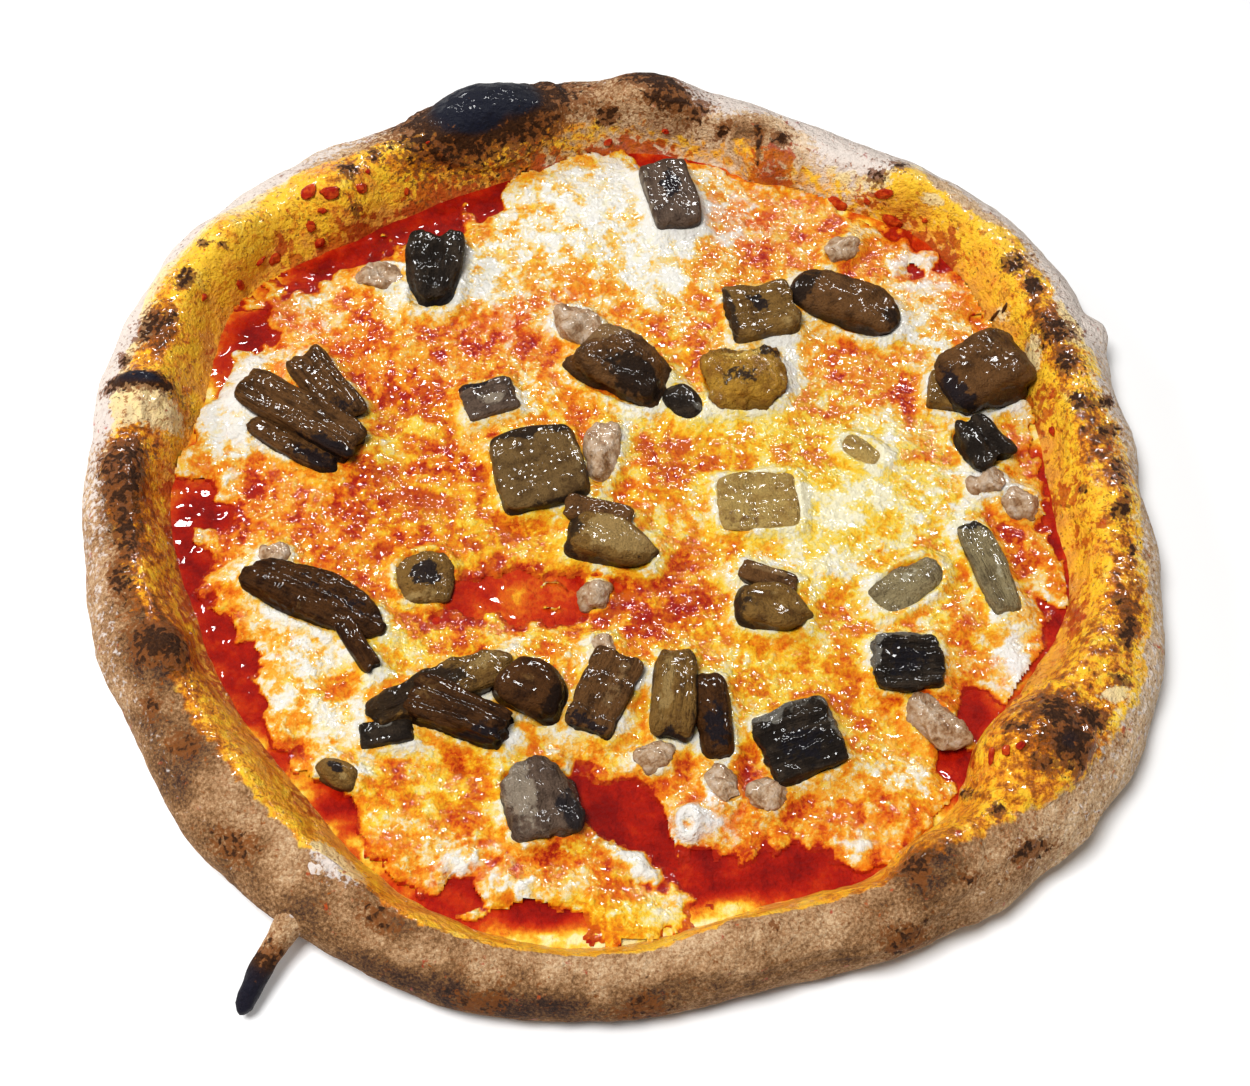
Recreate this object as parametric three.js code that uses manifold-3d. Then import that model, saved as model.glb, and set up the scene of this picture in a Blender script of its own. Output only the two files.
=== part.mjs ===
// A porcini pizza, baked in a hot oven: a puffed, blistered crust with a thin tail of dough, a layer
// of tomato sauce, melted mozzarella that lies over the sauce in a sheet with open pools, and slices
// of porcini and crumbs of sausage half sunk in the cheese.
// Millimetres and degrees, +Z up. The origin is the middle of the flat underside, +X is the right of
// the pizza and +Y its back. Angles round the pizza run counterclockwise from +X.
import * as THREE from "three";
import { mergeVertices } from "three/addons/utils/BufferGeometryUtils.js";
import Module from "manifold-3d";

const wasm = await Module();
wasm.setup();

// ---- Driving dimensions ----

const GAP = 0.3; // clear space between pieces that lie on each other
const BASE = 4.5; // the baked base under the sauce
const SAUCE_TOP = 7.5;
const CHEESE_BASE = SAUCE_TOP + GAP;
const MELT = 1.5; // the cheese's usual thickness
const MELT_CELL = 7; // the step of the cheese's surface

// The rim, every RIM_STEP degrees from 0: its outer edge, its inner foot and its height.
const RIM_STEP = 15;
const RIM_OUTER = [
  156, 157, 162, 159, 156, 157, 160, 160, 160, 166, 169, 166,
  161, 160, 159, 162, 162, 163, 160, 157, 162, 166, 169, 163,
];
const RIM_INNER = [
  126, 127, 130, 136, 129, 130, 132, 126, 125, 130, 139, 130,
  133, 128, 126, 126, 133, 138, 137, 131, 135, 131, 126, 132,
];
const RIM_HEIGHT = [
  23, 24, 24, 24, 22, 24, 25, 26, 26, 25, 25, 24,
  25, 24, 23, 22, 21, 20, 20, 21, 23, 25, 24, 23,
];
const CREST_SHARE = 0.45; // the crest's place between the inner foot and the outer edge
const WAIST_SHARE = 0.42; // the height of the widest place, of the rim's height
const UNDERCUT_SHARE = 0.3; // how far in the rim meets the table, of its width
const CORE_SHARE = 0.4; // the height of the rim's core line, of its height
const RIM_SIDES = 100; // sections round the pizza
const SLOPE_STEPS = 5; // steps up the inner slope
const QUARTER_STEPS = 4; // steps over the outer side, and again under it

// Blisters and bulges of the rim: the angle, the radius and the height of the middle, the reach
// along and across the rim, and how far each stands out.
const BLISTERS = [
  { at: 108, radius: 146, z: 24, along: 29, across: 20, rise: 6 }, // burnt blister
  { at: 86, radius: 148, z: 23, along: 20, across: 17, rise: 5 }, // smoky bulge
  { at: 70, radius: 133, z: 15, along: 15, across: 13, rise: 5 }, // striped bubble
  { at: 51, radius: 141, z: 21, along: 16, across: 13, rise: 4 }, // yellow bubble
  { at: 21, radius: 156, z: 13, along: 9, across: 9, rise: 3.5 }, // pale lump
  { at: 357, radius: 145, z: 20, along: 20, across: 14, rise: 2.5 }, // right swell
  { at: 322, radius: 138, z: 18, along: 24, across: 23, rise: 8 }, // golden bubble
  { at: 305, radius: 145, z: 20, along: 15, across: 14, rise: 4 }, // cream bubble
  { at: 282, radius: 146, z: 18, along: 22, across: 12, rise: 2.5 }, // front swell
  { at: 222, radius: 144, z: 19, along: 18, across: 14, rise: 3 }, // low front swell
  { at: 204, radius: 141, z: 20, along: 13, across: 12, rise: 3.5 }, // brown bubble
  { at: 170, radius: 146, z: 21, along: 15, across: 16, rise: 4 }, // torn blister
  { at: 146, radius: 149, z: 22, along: 20, across: 16, rise: 4 }, // corner bulge
  { at: 131, radius: 136, z: 18, along: 17, across: 17, rise: 5 }, // spotted bulge
];
const LUMP_RISE = 1; // the uneven dough between the blisters
const LUMP_LENGTHS = [7.8, 5.8, 4.2]; // how quickly they follow each other along X, Y and Z
const TABLE_FADE = 8; // blisters and lumps die out below this height

// The thin tail of dough on the front left: the line it follows and how thick it is along it.
const TAIL_LINE = [[-78, -118, 12], [-89, -135, 10.5], [-96, -147, 8], [-101, -158, 4.6]];
const TAIL_RADII = [11, 10, 8, 5.4, 4, 3.5, 3.3, 3.2, 2.9, 2.2];
const TAIL_SIDES = 10;

// Thick places in the melted cheese: the middle, the half length and half width, the turn and how
// much higher they stand.
const MELT_SWELLS = [
  { at: [0, 100], half: [40, 22], turn: -30, rise: 2 },
  { at: [-62, 68], half: [32, 18], turn: 30, rise: 1 },
  { at: [-117, 26], half: [13, 22], turn: 0, rise: 1.1 },
  { at: [70, 5], half: [42, 22], turn: -8, rise: 1.3 },
  { at: [92, 62], half: [26, 14], turn: -50, rise: 1 },
  { at: [-92, -62], half: [22, 16], turn: -40, rise: 1.2 },
  { at: [-15, -116], half: [42, 12], turn: -4, rise: 0.7 },
  { at: [75, -95], half: [18, 12], turn: 45, rise: 0.9 },
  { at: [112, -62], half: [12, 8], turn: 20, rise: 1.2 },
  { at: [36, 60], half: [30, 18], turn: 10, rise: 0.8 },
  { at: [19, -107], half: [10, 8], turn: 0, rise: 4.6 },
];
// Pools of bare sauce, with the same sizes.
const POOLS = [
  { at: [8, -106], half: [30, 8], turn: -24 },
  { at: [48, -120], half: [28, 9], turn: 4 },
  { at: [-50, -129], half: [17, 6], turn: -18 },
  { at: [-24, -131], half: [12, 5], turn: -6 },
  { at: [-111, -53], half: [26, 7], turn: -62 },
  { at: [-129, -10], half: [22, 8], turn: 100 },
  { at: [-58, 112], half: [33, 11], turn: 24 },
  { at: [-85, 92], half: [20, 6], turn: 42 },
  { at: [-119, 58], half: [12, 7], turn: 60 },
  { at: [14, 130], half: [14, 5], turn: 0 },
  { at: [54, 123], half: [12, 5], turn: -24 },
  { at: [99, 92], half: [15, 6], turn: -48 },
  { at: [129, -3], half: [11, 7], turn: 90 },
  { at: [129, -41], half: [16, 8], turn: 68 },
  { at: [98, -80], half: [16, 6], turn: 70 },
  { at: [-79, -100], half: [8, 6], turn: 0 },
  { at: [-30, -34], half: [22, 8], turn: 0 },
];
const POOL_DEPTH = 4.5; // how strongly a pool thins the cheese
const MELT_EDGE = 4; // the cheese thins out over this width
const MELT_REACH = 1.5; // and ends this far up the rim's foot
const MELT_WAVE = 0.45; // ripples of the cheese
const MELT_LENGTHS = [7, 8, 11, 13]; // the ripples' lengths along X and Y, and those of their bends
const MELT_THICKEST = 4;
const SMALLEST_PATCH = 60; // a loose scrap of cheese below this many cubic millimetres is left out

// How a slice is cut. square: 2 is an egg, 10 is close to a block. tail and head: the width at the two
// ends, of the middle's. slim: how much thinner the head is. arch: how far the middle is bowed up,
// and bend: how far it is bowed to the side, both in millimetres. rough: unevenness, of the size.
const CUTS = {
  slab: { square: 10, tail: 1, head: 0.95, slim: 0, arch: 0, bend: 0, rough: 0.03 },
  strip: { square: 8, tail: 0.9, head: 0.85, slim: 0, arch: 0.8, bend: 0, rough: 0.05 },
  leaf: { square: 2.8, tail: 0.95, head: 0.7, slim: 0.25, arch: 0.6, bend: 1.5, rough: 0.04 },
  stem: { square: 4.5, tail: 0.85, head: 1.05, slim: 0, arch: 0.4, bend: 0, rough: 0.04 },
  wedge: { square: 5, tail: 1.1, head: 0.35, slim: 0.3, arch: 0, bend: 0, rough: 0.06 },
  curl: { square: 3.6, tail: 0.95, head: 0.9, slim: 0, arch: 2.2, bend: 2, rough: 0.06 },
  lump: { square: 2.5, tail: 1, head: 1, slim: 0, arch: 0, bend: 0, rough: 0.08 },
};

// The porcini. size is the length, width and thickness, turn the direction of the length, pitch how
// far the head dips, and lift how far the middle stands above the cheese. Those that lie on top of
// others come first, because the later ones are cut round them.
const PORCINI = {
  black_wedge: { cut: "wedge", tone: "black", at: [-60, 82], size: [28, 17, 12], turn: -92, lift: 1.5 },
  grey_block: { cut: "slab", tone: "grey", at: [16, 112], size: [26, 16, 11], turn: -77, lift: 1.5 },
  notched_block: { cut: "slab", tone: "olive", at: [44, 66], size: [22, 20, 10], turn: 13, lift: 1 },
  glossy_leaf: { cut: "leaf", tone: "brown", at: [71, 69], size: [36, 18, 11], turn: -26, lift: 2 },
  gilled_curl: { cut: "curl", tone: "brown", at: [-1, 44], size: [31, 20, 13], turn: -29, lift: 1 },
  roasted_lump: { cut: "lump", tone: "golden", at: [38, 41], size: [26, 23, 14], turn: 11, lift: 0.5 },
  dark_bead: { cut: "lump", tone: "black", at: [19, 33], size: [15, 10, 8], turn: -49, lift: 0 },
  grey_chip: { cut: "slab", tone: "grey", at: [-41, 34], size: [16, 13, 8], turn: 18, lift: 0 },
  square_slab: { cut: "slab", tone: "olive", at: [-25, 8], size: [27, 27, 11], turn: 15, pitch: -3, lift: 1 },
  left_strip: { cut: "strip", tone: "brown", at: [-98, 26], size: [42, 14, 10], turn: -33, lift: 3.2 },
  left_under_strip: { cut: "strip", tone: "brown", at: [-100, 18], size: [31, 11, 8], turn: -30, lift: 0.5 },
  left_back_strip: { cut: "strip", tone: "brown", at: [-91, 37], size: [28, 13, 9], turn: -53, lift: 1.2 },
  middle_stem: { cut: "wedge", tone: "olive", at: [-3, -18], size: [26, 14, 12], turn: -16, lift: 1.8 },
  middle_cap: { cut: "strip", tone: "brown", at: [-7, -8], size: [20, 8, 7], turn: -14, lift: 1.5 },
  right_stem: { cut: "wedge", tone: "olive", at: [44, -40], size: [21, 13, 11], turn: -11, lift: 1.5 },
  right_cap: { cut: "strip", tone: "brown", at: [43, -30], size: [17, 7, 6], turn: -22, lift: 1.5 },
  long_slice: { cut: "leaf", tone: "dark", at: [-90, -37], size: [45, 16, 9], turn: -25, lift: 1.8 },
  hanging_stem: { cut: "strip", tone: "dark", at: [-76, -52], size: [19, 6, 6], turn: -56, lift: 2 },
  sunken_roundel: { cut: "lump", tone: "olive", at: [-58, -28], size: [18, 18, 7], turn: 10, lift: -0.8 },
  fibrous_strip: { cut: "strip", tone: "dark", at: [-46, -74], size: [30, 13, 11], turn: -22, lift: 3 },
  olive_strip: { cut: "strip", tone: "olive", at: [-51, -66], size: [41, 11, 9], turn: 23, lift: 2 },
  chocolate_slice: { cut: "curl", tone: "dark", at: [-26, -68], size: [21, 15, 11], turn: -30, lift: 2 },
  dark_end: { cut: "slab", tone: "black", at: [-66, -79], size: [15, 8, 7], turn: 8, lift: 0.5 },
  oblong_slab: { cut: "slab", tone: "brown", at: [-5, -67], size: [26, 15, 9], turn: -113, lift: 0.5 },
  cut_stem: { cut: "stem", tone: "olive", at: [15, -68], size: [27, 13, 13], turn: -94, lift: 2.5 },
  shaded_stem: { cut: "stem", tone: "dark", at: [26, -74], size: [27, 10, 10], turn: -84, lift: 0.3 },
  black_cube: { cut: "slab", tone: "black", at: [50, -82], size: [22, 22, 11], turn: 20, lift: 0.3 },
  black_square: { cut: "slab", tone: "black", at: [82, -57], size: [20, 17, 10], turn: 3, lift: 0 },
  rim_cap: { cut: "curl", tone: "brown", at: [112, 40], size: [28, 23, 15], turn: 25, lift: 3 },
  rim_chip: { cut: "slab", tone: "olive", at: [100, 36], size: [13, 11, 9], turn: 80, lift: 1 },
  black_triangle: { cut: "wedge", tone: "black", at: [109, 17], size: [18, 14, 11], turn: 120, lift: 2 },
  right_sliver: { cut: "strip", tone: "olive", at: [108, -26], size: [32, 10, 8], turn: -71, lift: 0 },
  sunken_olive: { cut: "lump", tone: "olive", at: [84, -31], size: [24, 14, 7], turn: 34, lift: -0.6 },
  pale_slab: { cut: "slab", tone: "pale", at: [41, -3], size: [25, 20, 6], turn: 4, lift: -0.8 },
  grey_peak: { cut: "wedge", tone: "grey", at: [-23, -99], size: [24, 20, 13], turn: 105, lift: 0.5 },
  front_eye: { cut: "lump", tone: "olive", at: [-79, -91], size: [13, 8, 7], turn: -29, lift: 0.3 },
  pale_sliver: { cut: "lump", tone: "pale", at: [73, 15], size: [15, 9, 5], turn: -34, lift: -0.4 },
};

// The crumbs of sausage, with the same sizes.
const SAUSAGE = [
  { at: [-8, -34], size: [9, 9, 7], turn: 0 },
  { at: [-6, 14], size: [24, 10, 8], turn: -97 },
  { at: [-14, 62], size: [17, 13, 9], turn: -42 },
  { at: [71, 92], size: [13, 8, 7], turn: 41 },
  { at: [110, 4], size: [11, 9, 8], turn: 20 },
  { at: [119, -3], size: [12, 10, 7], turn: -20 },
  { at: [89, -76], size: [19, 12, 8], turn: -50 },
  { at: [41, -97], size: [14, 9, 6], turn: 38 },
  { at: [9, -86], size: [10, 8, 6], turn: 15 },
  { at: [-5, -51], size: [9, 6, 5], turn: -20 },
  { at: [-103, -21], size: [9, 7, 5], turn: 10 },
  { at: [-77, 82], size: [17, 9, 6], turn: 4 },
  { at: [28, -95], size: [12, 8, 6], turn: -55 },
];
const CRUMB = { cut: "lump", square: 2.2, rough: 0.14, lift: 0.8 };
const PIECE_STEP = 9; // the usual step along a slice
const PIECE_WAVES = [3.1, 3.7, 4.3]; // how fast a slice's unevenness runs along, across and through it

const FINISHES = {
  crust: { color: 0xc49a6c, roughness: 0.85, metalness: 0 },
  sauce: { color: 0xb01c0c, roughness: 0.3, metalness: 0 },
  cheese: { color: 0xefd9a8, roughness: 0.35, metalness: 0 },
  black: { color: 0x1f1b1c, roughness: 0.35, metalness: 0 },
  grey: { color: 0x5c5048, roughness: 0.4, metalness: 0 },
  dark: { color: 0x3c2a1c, roughness: 0.4, metalness: 0 },
  brown: { color: 0x5a4330, roughness: 0.4, metalness: 0 },
  olive: { color: 0x7a6440, roughness: 0.4, metalness: 0 },
  pale: { color: 0xc0a878, roughness: 0.4, metalness: 0 },
  golden: { color: 0xb08038, roughness: 0.5, metalness: 0 },
  sausage: { color: 0xb89c88, roughness: 0.45, metalness: 0 },
};

// ---- Sums ----

const RADIAN = Math.PI / 180;

// A smooth closed curve through values that stand every RIM_STEP degrees, read at an angle.
function readRound(values, angle) {
  const place = (((angle % 360) + 360) % 360) / RIM_STEP;
  const first = Math.floor(place);
  const t = place - first;
  const [a, b, c, d] = [-1, 0, 1, 2].map((k) => values[(first + k + values.length) % values.length]);
  return b + 0.5 * t * (c - a + t * (2 * a - 5 * b + 4 * c - d + t * (3 * (b - c) + d - a)));
}

// The rim's sizes at an angle: its foot, crest, outer edge, height and the core it swells from.
function rimAt(angle) {
  const foot = readRound(RIM_INNER, angle);
  const outer = readRound(RIM_OUTER, angle);
  const height = readRound(RIM_HEIGHT, angle);
  return {
    foot,
    outer,
    height,
    crest: foot + CREST_SHARE * (outer - foot),
    waist: WAIST_SHARE * height,
    undercut: UNDERCUT_SHARE * (outer - foot),
    coreRadius: (foot + outer) / 2,
    coreHeight: CORE_SHARE * height,
  };
}

// How far the dough stands out at a point: the blisters it is near, and the lumps between them.
function doughRise(angle, radius, z) {
  const [long, deep, high] = LUMP_LENGTHS;
  const x = radius * Math.cos(angle * RADIAN);
  const y = radius * Math.sin(angle * RADIAN);
  let rise = LUMP_RISE * Math.sin(x / long + 1) * Math.sin(y / deep + 2) * Math.cos(z / high);
  for (const b of BLISTERS) {
    const turned = ((((angle - b.at) % 360) + 540) % 360) - 180;
    const along = (turned * RADIAN * b.radius) / b.along;
    const across = Math.hypot(radius - b.radius, z - b.z) / b.across;
    rise += b.rise * Math.max(0, 1 - along * along - across * across) ** 2;
  }
  return rise * Math.min(1, z / TABLE_FADE);
}

// The rim's section at an angle as [radius, z] points: up the inner slope, over the crest and the
// outer side, and under it to where the dough meets the table.
function rimSection(angle) {
  const rim = rimAt(angle);
  const points = [];
  for (let i = 0; i <= SLOPE_STEPS; i++) {
    const s = i / SLOPE_STEPS;
    const climb = (1 - Math.cos(Math.PI * s)) / 2;
    points.push([rim.foot + s * (rim.crest - rim.foot), BASE + climb * (rim.height - BASE)]);
  }
  for (let i = 1; i <= QUARTER_STEPS; i++) {
    const a = (i / QUARTER_STEPS) * (Math.PI / 2);
    points.push([
      rim.crest + (rim.outer - rim.crest) * Math.sin(a),
      rim.waist + (rim.height - rim.waist) * Math.cos(a),
    ]);
  }
  for (let i = 1; i <= QUARTER_STEPS; i++) {
    const a = (i / QUARTER_STEPS) * (Math.PI / 2);
    points.push([rim.outer - rim.undercut * (1 - Math.cos(a)), rim.waist * (1 - Math.sin(a))]);
  }
  return points.map(([radius, z], i) => {
    const rise = doughRise(angle, radius, z);
    const away = Math.hypot(radius - rim.coreRadius, z - rim.coreHeight);
    const lowest = i <= SLOPE_STEPS ? BASE : 0;
    return [
      radius + (rise * (radius - rim.coreRadius)) / away,
      Math.max(lowest, z + (rise * (z - rim.coreHeight)) / away),
    ];
  });
}

// How far out the rim's inner slope stands at a height.
function slopeRadius(section, z) {
  const i = section.findIndex((point, k) => k < SLOPE_STEPS && section[k + 1][1] > z);
  const [[r0, z0], [r1, z1]] = [section[i], section[i + 1]];
  return r0 + ((r1 - r0) * (z - z0)) / (z1 - z0);
}

// A round patch's weight at a point: 1 in its middle, falling off like a bell.
function patchWeight({ at, half, turn }, x, y) {
  const [dx, dy] = [x - at[0], y - at[1]];
  const [cos, sin] = [Math.cos(turn * RADIAN), Math.sin(turn * RADIAN)];
  const along = (dx * cos + dy * sin) / half[0];
  const across = (dy * cos - dx * sin) / half[1];
  return Math.exp(-(along * along + across * across));
}

// The cheese's thickness at a point, below zero where there is none.
function meltThickness(x, y) {
  const radius = Math.hypot(x, y);
  const foot = readRound(RIM_INNER, Math.atan2(y, x) / RADIAN);
  const edge = Math.max(0, (radius - (foot + MELT_REACH - MELT_EDGE)) / MELT_EDGE);
  const [long, deep, longBend, deepBend] = MELT_LENGTHS;
  const ripple = Math.sin(x / long + Math.sin(y / longBend)) * Math.sin(y / deep + Math.sin(x / deepBend));
  let thick = MELT + MELT_WAVE * ripple;
  for (const swell of MELT_SWELLS) thick += swell.rise * patchWeight(swell, x, y);
  for (const pool of POOLS) thick -= POOL_DEPTH * patchWeight(pool, x, y);
  return Math.max(-POOL_DEPTH, Math.min(thick, MELT_THICKEST) - edge * edge * MELT_THICKEST);
}

// The surface that the toppings lie on.
const bedHeight = (x, y) => Math.max(SAUCE_TOP, CHEESE_BASE + meltThickness(x, y));

// ---- Solids ----

// A three.js geometry as a solid.
function solidOf(geometry) {
  const bare = geometry.clone();
  bare.deleteAttribute("normal");
  bare.deleteAttribute("uv");
  const merged = mergeVertices(bare, 1e-4);
  return new wasm.Manifold(
    new wasm.Mesh({
      numProp: 3,
      vertProperties: merged.attributes.position.array,
      triVerts: new Uint32Array(merged.index.array),
    }),
  );
}

// A solid as a three.js geometry.
function geometryOf(solid) {
  const { numProp, vertProperties, triVerts } = solid.getMesh();
  const points = new THREE.InterleavedBuffer(vertProperties, numProp);
  const geometry = new THREE.BufferGeometry();
  geometry.setAttribute("position", new THREE.InterleavedBufferAttribute(points, 3, 0));
  geometry.setIndex(new THREE.BufferAttribute(triVerts, 1));
  const plain = geometry.toNonIndexed();
  plain.computeVertexNormals();
  return plain;
}

function meshOf(name, finish, solid) {
  const mesh = new THREE.Mesh(geometryOf(solid), new THREE.MeshStandardMaterial(FINISHES[finish]));
  mesh.name = name;
  return mesh;
}

// Moves every vertex of a geometry by a function from a point to a new one.
function reshape(geometry, move) {
  const points = geometry.attributes.position;
  const point = new THREE.Vector3();
  for (let i = 0; i < points.count; i++) {
    point.fromBufferAttribute(points, i);
    points.setXYZ(i, ...move(point, i));
  }
  return geometry;
}

// A closed solid of revolution whose section differs from angle to angle. sectionAt gives the same
// number of [radius, z] points at each angle, from the axis at the bottom to the axis at the top.
function turnedSolid(sectionAt) {
  const sections = Array.from({ length: RIM_SIDES }, (_, i) => sectionAt((i * 360) / RIM_SIDES));
  const count = sections[0].length;
  const outline = sections[0].map(([radius, z]) => new THREE.Vector2(radius, z));
  const lathe = new THREE.LatheGeometry(outline, RIM_SIDES);
  return solidOf(
    reshape(lathe, (_, i) => {
      const step = Math.floor(i / count) % RIM_SIDES;
      const [radius, z] = sections[step][i % count];
      const angle = ((step * 360) / RIM_SIDES) * RADIAN;
      return [radius * Math.cos(angle), radius * Math.sin(angle), z];
    }),
  );
}

// A block whose top follows a height over the whole pizza and whose flat bottom lies at a level.
function fieldSolid(heightAt, bottom) {
  const cells = Math.ceil((2 * Math.max(...RIM_OUTER)) / MELT_CELL);
  const span = cells * MELT_CELL;
  const block = new THREE.BoxGeometry(span, span, 1, cells, cells, 1);
  return solidOf(reshape(block, ({ x, y, z }) => [x, y, z > 0 ? heightAt(x, y) : bottom]));
}

// A cube's point pulled to a rounded block's surface, then cut to shape and made uneven.
function slicePoint(piece, seed, extra, { x, y, z }) {
  const { square, tail, head, slim, arch, bend, rough } = piece;
  const reach = (Math.abs(x) ** square + Math.abs(y) ** square + Math.abs(z) ** square) ** (1 / square);
  const [u, v, w] = [x / reach, y / reach, z / reach];
  const width = u < 0 ? 1 + (tail - 1) * u * u : 1 + (head - 1) * u * u;
  const height = 1 - slim * Math.max(0, u) ** 2;
  const [along, across, through] = PIECE_WAVES;
  const plain = Math.sin(along * u + seed) * Math.cos(across * v + 2 * seed);
  const wave = plain + Math.sin(through * w + along * u + 3 * seed);
  const [length, breadth, thick] = piece.size.map((size) => (size / 2) * (1 + rough * wave) + extra);
  return [length * u, breadth * v * width + bend * (1 - u * u), thick * w * height + arch * (1 - u * u)];
}

// A slice or a crumb as a solid in its own frame, its length along X. extra makes it that much
// larger all round, to cut its neighbours with.
function sliceSolid(piece, seed, extra = 0) {
  const steps = Math.max(2, Math.round(piece.size[0] / PIECE_STEP));
  const cube = new THREE.BoxGeometry(2, 2, 2, steps, 2, 2);
  return solidOf(reshape(cube, (point) => slicePoint(piece, seed, extra, point)));
}

// Where a slice lies, as a matrix.
function placeOf({ at: [x, y], turn, pitch = 0, lift }) {
  const turned = new THREE.Euler(0, pitch * RADIAN, turn * RADIAN, "ZYX");
  return new THREE.Matrix4()
    .makeRotationFromEuler(turned)
    .setPosition(x, y, bedHeight(x, y) + lift);
}

// ---- Sub-parts ----

// The tail of dough: a slim pin, bent along its line.
function doughTail() {
  const line = new THREE.CatmullRomCurve3(TAIL_LINE.map((point) => new THREE.Vector3(...point)));
  const last = TAIL_RADII.length - 1;
  const outline = [0, ...TAIL_RADII, 0].map((radius, i) => new THREE.Vector2(radius, i));
  const pin = new THREE.LatheGeometry(outline, TAIL_SIDES);
  const bent = reshape(pin, ({ x, y, z }) => {
    const share = Math.min(1, Math.max(0, (y - 1) / last));
    const middle = line.getPointAt(share);
    const ahead = line.getTangentAt(share);
    const side = new THREE.Vector3(-ahead.y, ahead.x, 0).normalize();
    const up = new THREE.Vector3().crossVectors(ahead, side);
    middle.addScaledVector(side, -x).addScaledVector(up, z);
    return [middle.x, middle.y, Math.max(0, middle.z)];
  });
  return solidOf(bent);
}

function crust() {
  const dough = turnedSolid((angle) => [[0, 0], ...rimSection(angle).reverse(), [0, BASE]]);
  return dough.add(doughTail());
}

// The sauce fills the base up to its level and meets the rim's slope all round.
function tomatoSauce() {
  const bottom = BASE + GAP;
  return turnedSolid((angle) => {
    const section = rimSection(angle);
    return [
      [0, bottom],
      [slopeRadius(section, bottom) - 2 * GAP, bottom],
      [slopeRadius(section, SAUCE_TOP) - 2 * GAP, SAUCE_TOP],
      [0, SAUCE_TOP],
    ];
  });
}

// The melted cheese, largest patch first.
function meltedCheese() {
  const melt = fieldSolid((x, y) => CHEESE_BASE + meltThickness(x, y), CHEESE_BASE - 2 * POOL_DEPTH);
  const span = 2 * Math.max(...RIM_OUTER);
  const above = new THREE.BoxGeometry(span, span, span).translate(0, 0, CHEESE_BASE + span / 2);
  const patches = melt.intersect(solidOf(above)).decompose();
  return patches
    .filter((patch) => patch.volume() > SMALLEST_PATCH)
    .sort((a, b) => b.volume() - a.volume());
}

// The toppings: each is cut off where it sinks into the cheese and round those that lie on it.
function toppings(pieces, finishOf, taken, bed, dough) {
  const group = new THREE.Group();
  for (const piece of pieces) {
    const seed = taken.length;
    const place = placeOf(piece);
    let solid = sliceSolid(piece, seed).transform(place.elements);
    for (const cutter of [bed, dough, ...taken]) solid = solid.subtract(cutter);
    taken.push(sliceSolid(piece, seed, GAP).transform(place.elements));
    const back = place.clone().invert().elements;
    const [largest] = solid.decompose().sort((a, b) => b.volume() - a.volume());
    const mesh = meshOf(piece.name, finishOf(piece), largest.transform(back));
    mesh.applyMatrix4(place);
    group.add(mesh);
  }
  return group;
}

// ---- The pizza ----

const pizza = new THREE.Group();
pizza.name = "porcini_pizza";

const dough = crust();
pizza.add(meshOf("crust", "crust", dough));
pizza.add(meshOf("tomato_sauce", "sauce", tomatoSauce()));
meltedCheese().forEach((patch, i) => {
  pizza.add(meshOf(i ? `cheese_patch_${i}` : "melted_cheese", "cheese", patch));
});

const bed = fieldSolid((x, y) => bedHeight(x, y) + GAP, 0);
const clearDough = dough.add(dough.translate([0, 0, GAP]));
const porcini = Object.entries(PORCINI).map(([name, piece]) => (
  { ...CUTS[piece.cut], ...piece, name: `porcini_${name}` }
));
const crumbs = SAUSAGE.map((crumb, i) => (
  { ...CUTS[CRUMB.cut], ...CRUMB, ...crumb, name: `sausage_crumb_${i + 1}` }
));
const taken = [];
pizza.add(toppings(porcini, (piece) => piece.tone, taken, bed, clearDough));
pizza.add(toppings(crumbs, () => "sausage", taken, bed, clearDough));

export default pizza;
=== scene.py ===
"""The looks of a porcini pizza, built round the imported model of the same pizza.

Every solid of the model is replaced by a finer mesh that follows the same formulas: the crust, the
tomato sauce, the melted cheese, the porcini and the crumbs of sausage. Small scraps that are too
small for a solid, such as flecks of tomato on the rim, are added. All sizes in the code are in
millimetres in the model's frame: +Z up, +Y the back of the pizza, the origin the middle of its
flat underside. Angles are in degrees and run counterclockwise from +X.
"""

import itertools
import logging
from dataclasses import dataclass, field
from enum import Enum
from typing import Callable, Optional, Sequence, Union

import bpy
import numpy as np
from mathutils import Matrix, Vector


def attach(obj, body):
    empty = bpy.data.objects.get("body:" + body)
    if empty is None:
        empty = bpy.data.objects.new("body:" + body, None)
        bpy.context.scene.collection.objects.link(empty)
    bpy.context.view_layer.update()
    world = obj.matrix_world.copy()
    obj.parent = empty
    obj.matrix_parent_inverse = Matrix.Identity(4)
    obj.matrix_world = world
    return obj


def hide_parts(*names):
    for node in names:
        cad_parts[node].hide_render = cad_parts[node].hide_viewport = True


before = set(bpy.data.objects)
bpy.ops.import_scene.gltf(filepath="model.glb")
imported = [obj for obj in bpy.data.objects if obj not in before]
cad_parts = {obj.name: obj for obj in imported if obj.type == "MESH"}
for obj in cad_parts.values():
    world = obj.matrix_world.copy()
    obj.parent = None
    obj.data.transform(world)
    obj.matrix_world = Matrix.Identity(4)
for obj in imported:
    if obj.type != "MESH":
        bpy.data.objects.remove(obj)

LOG = logging.getLogger("pizza")
MM = 0.001

# -------- The model's sizes --------

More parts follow.
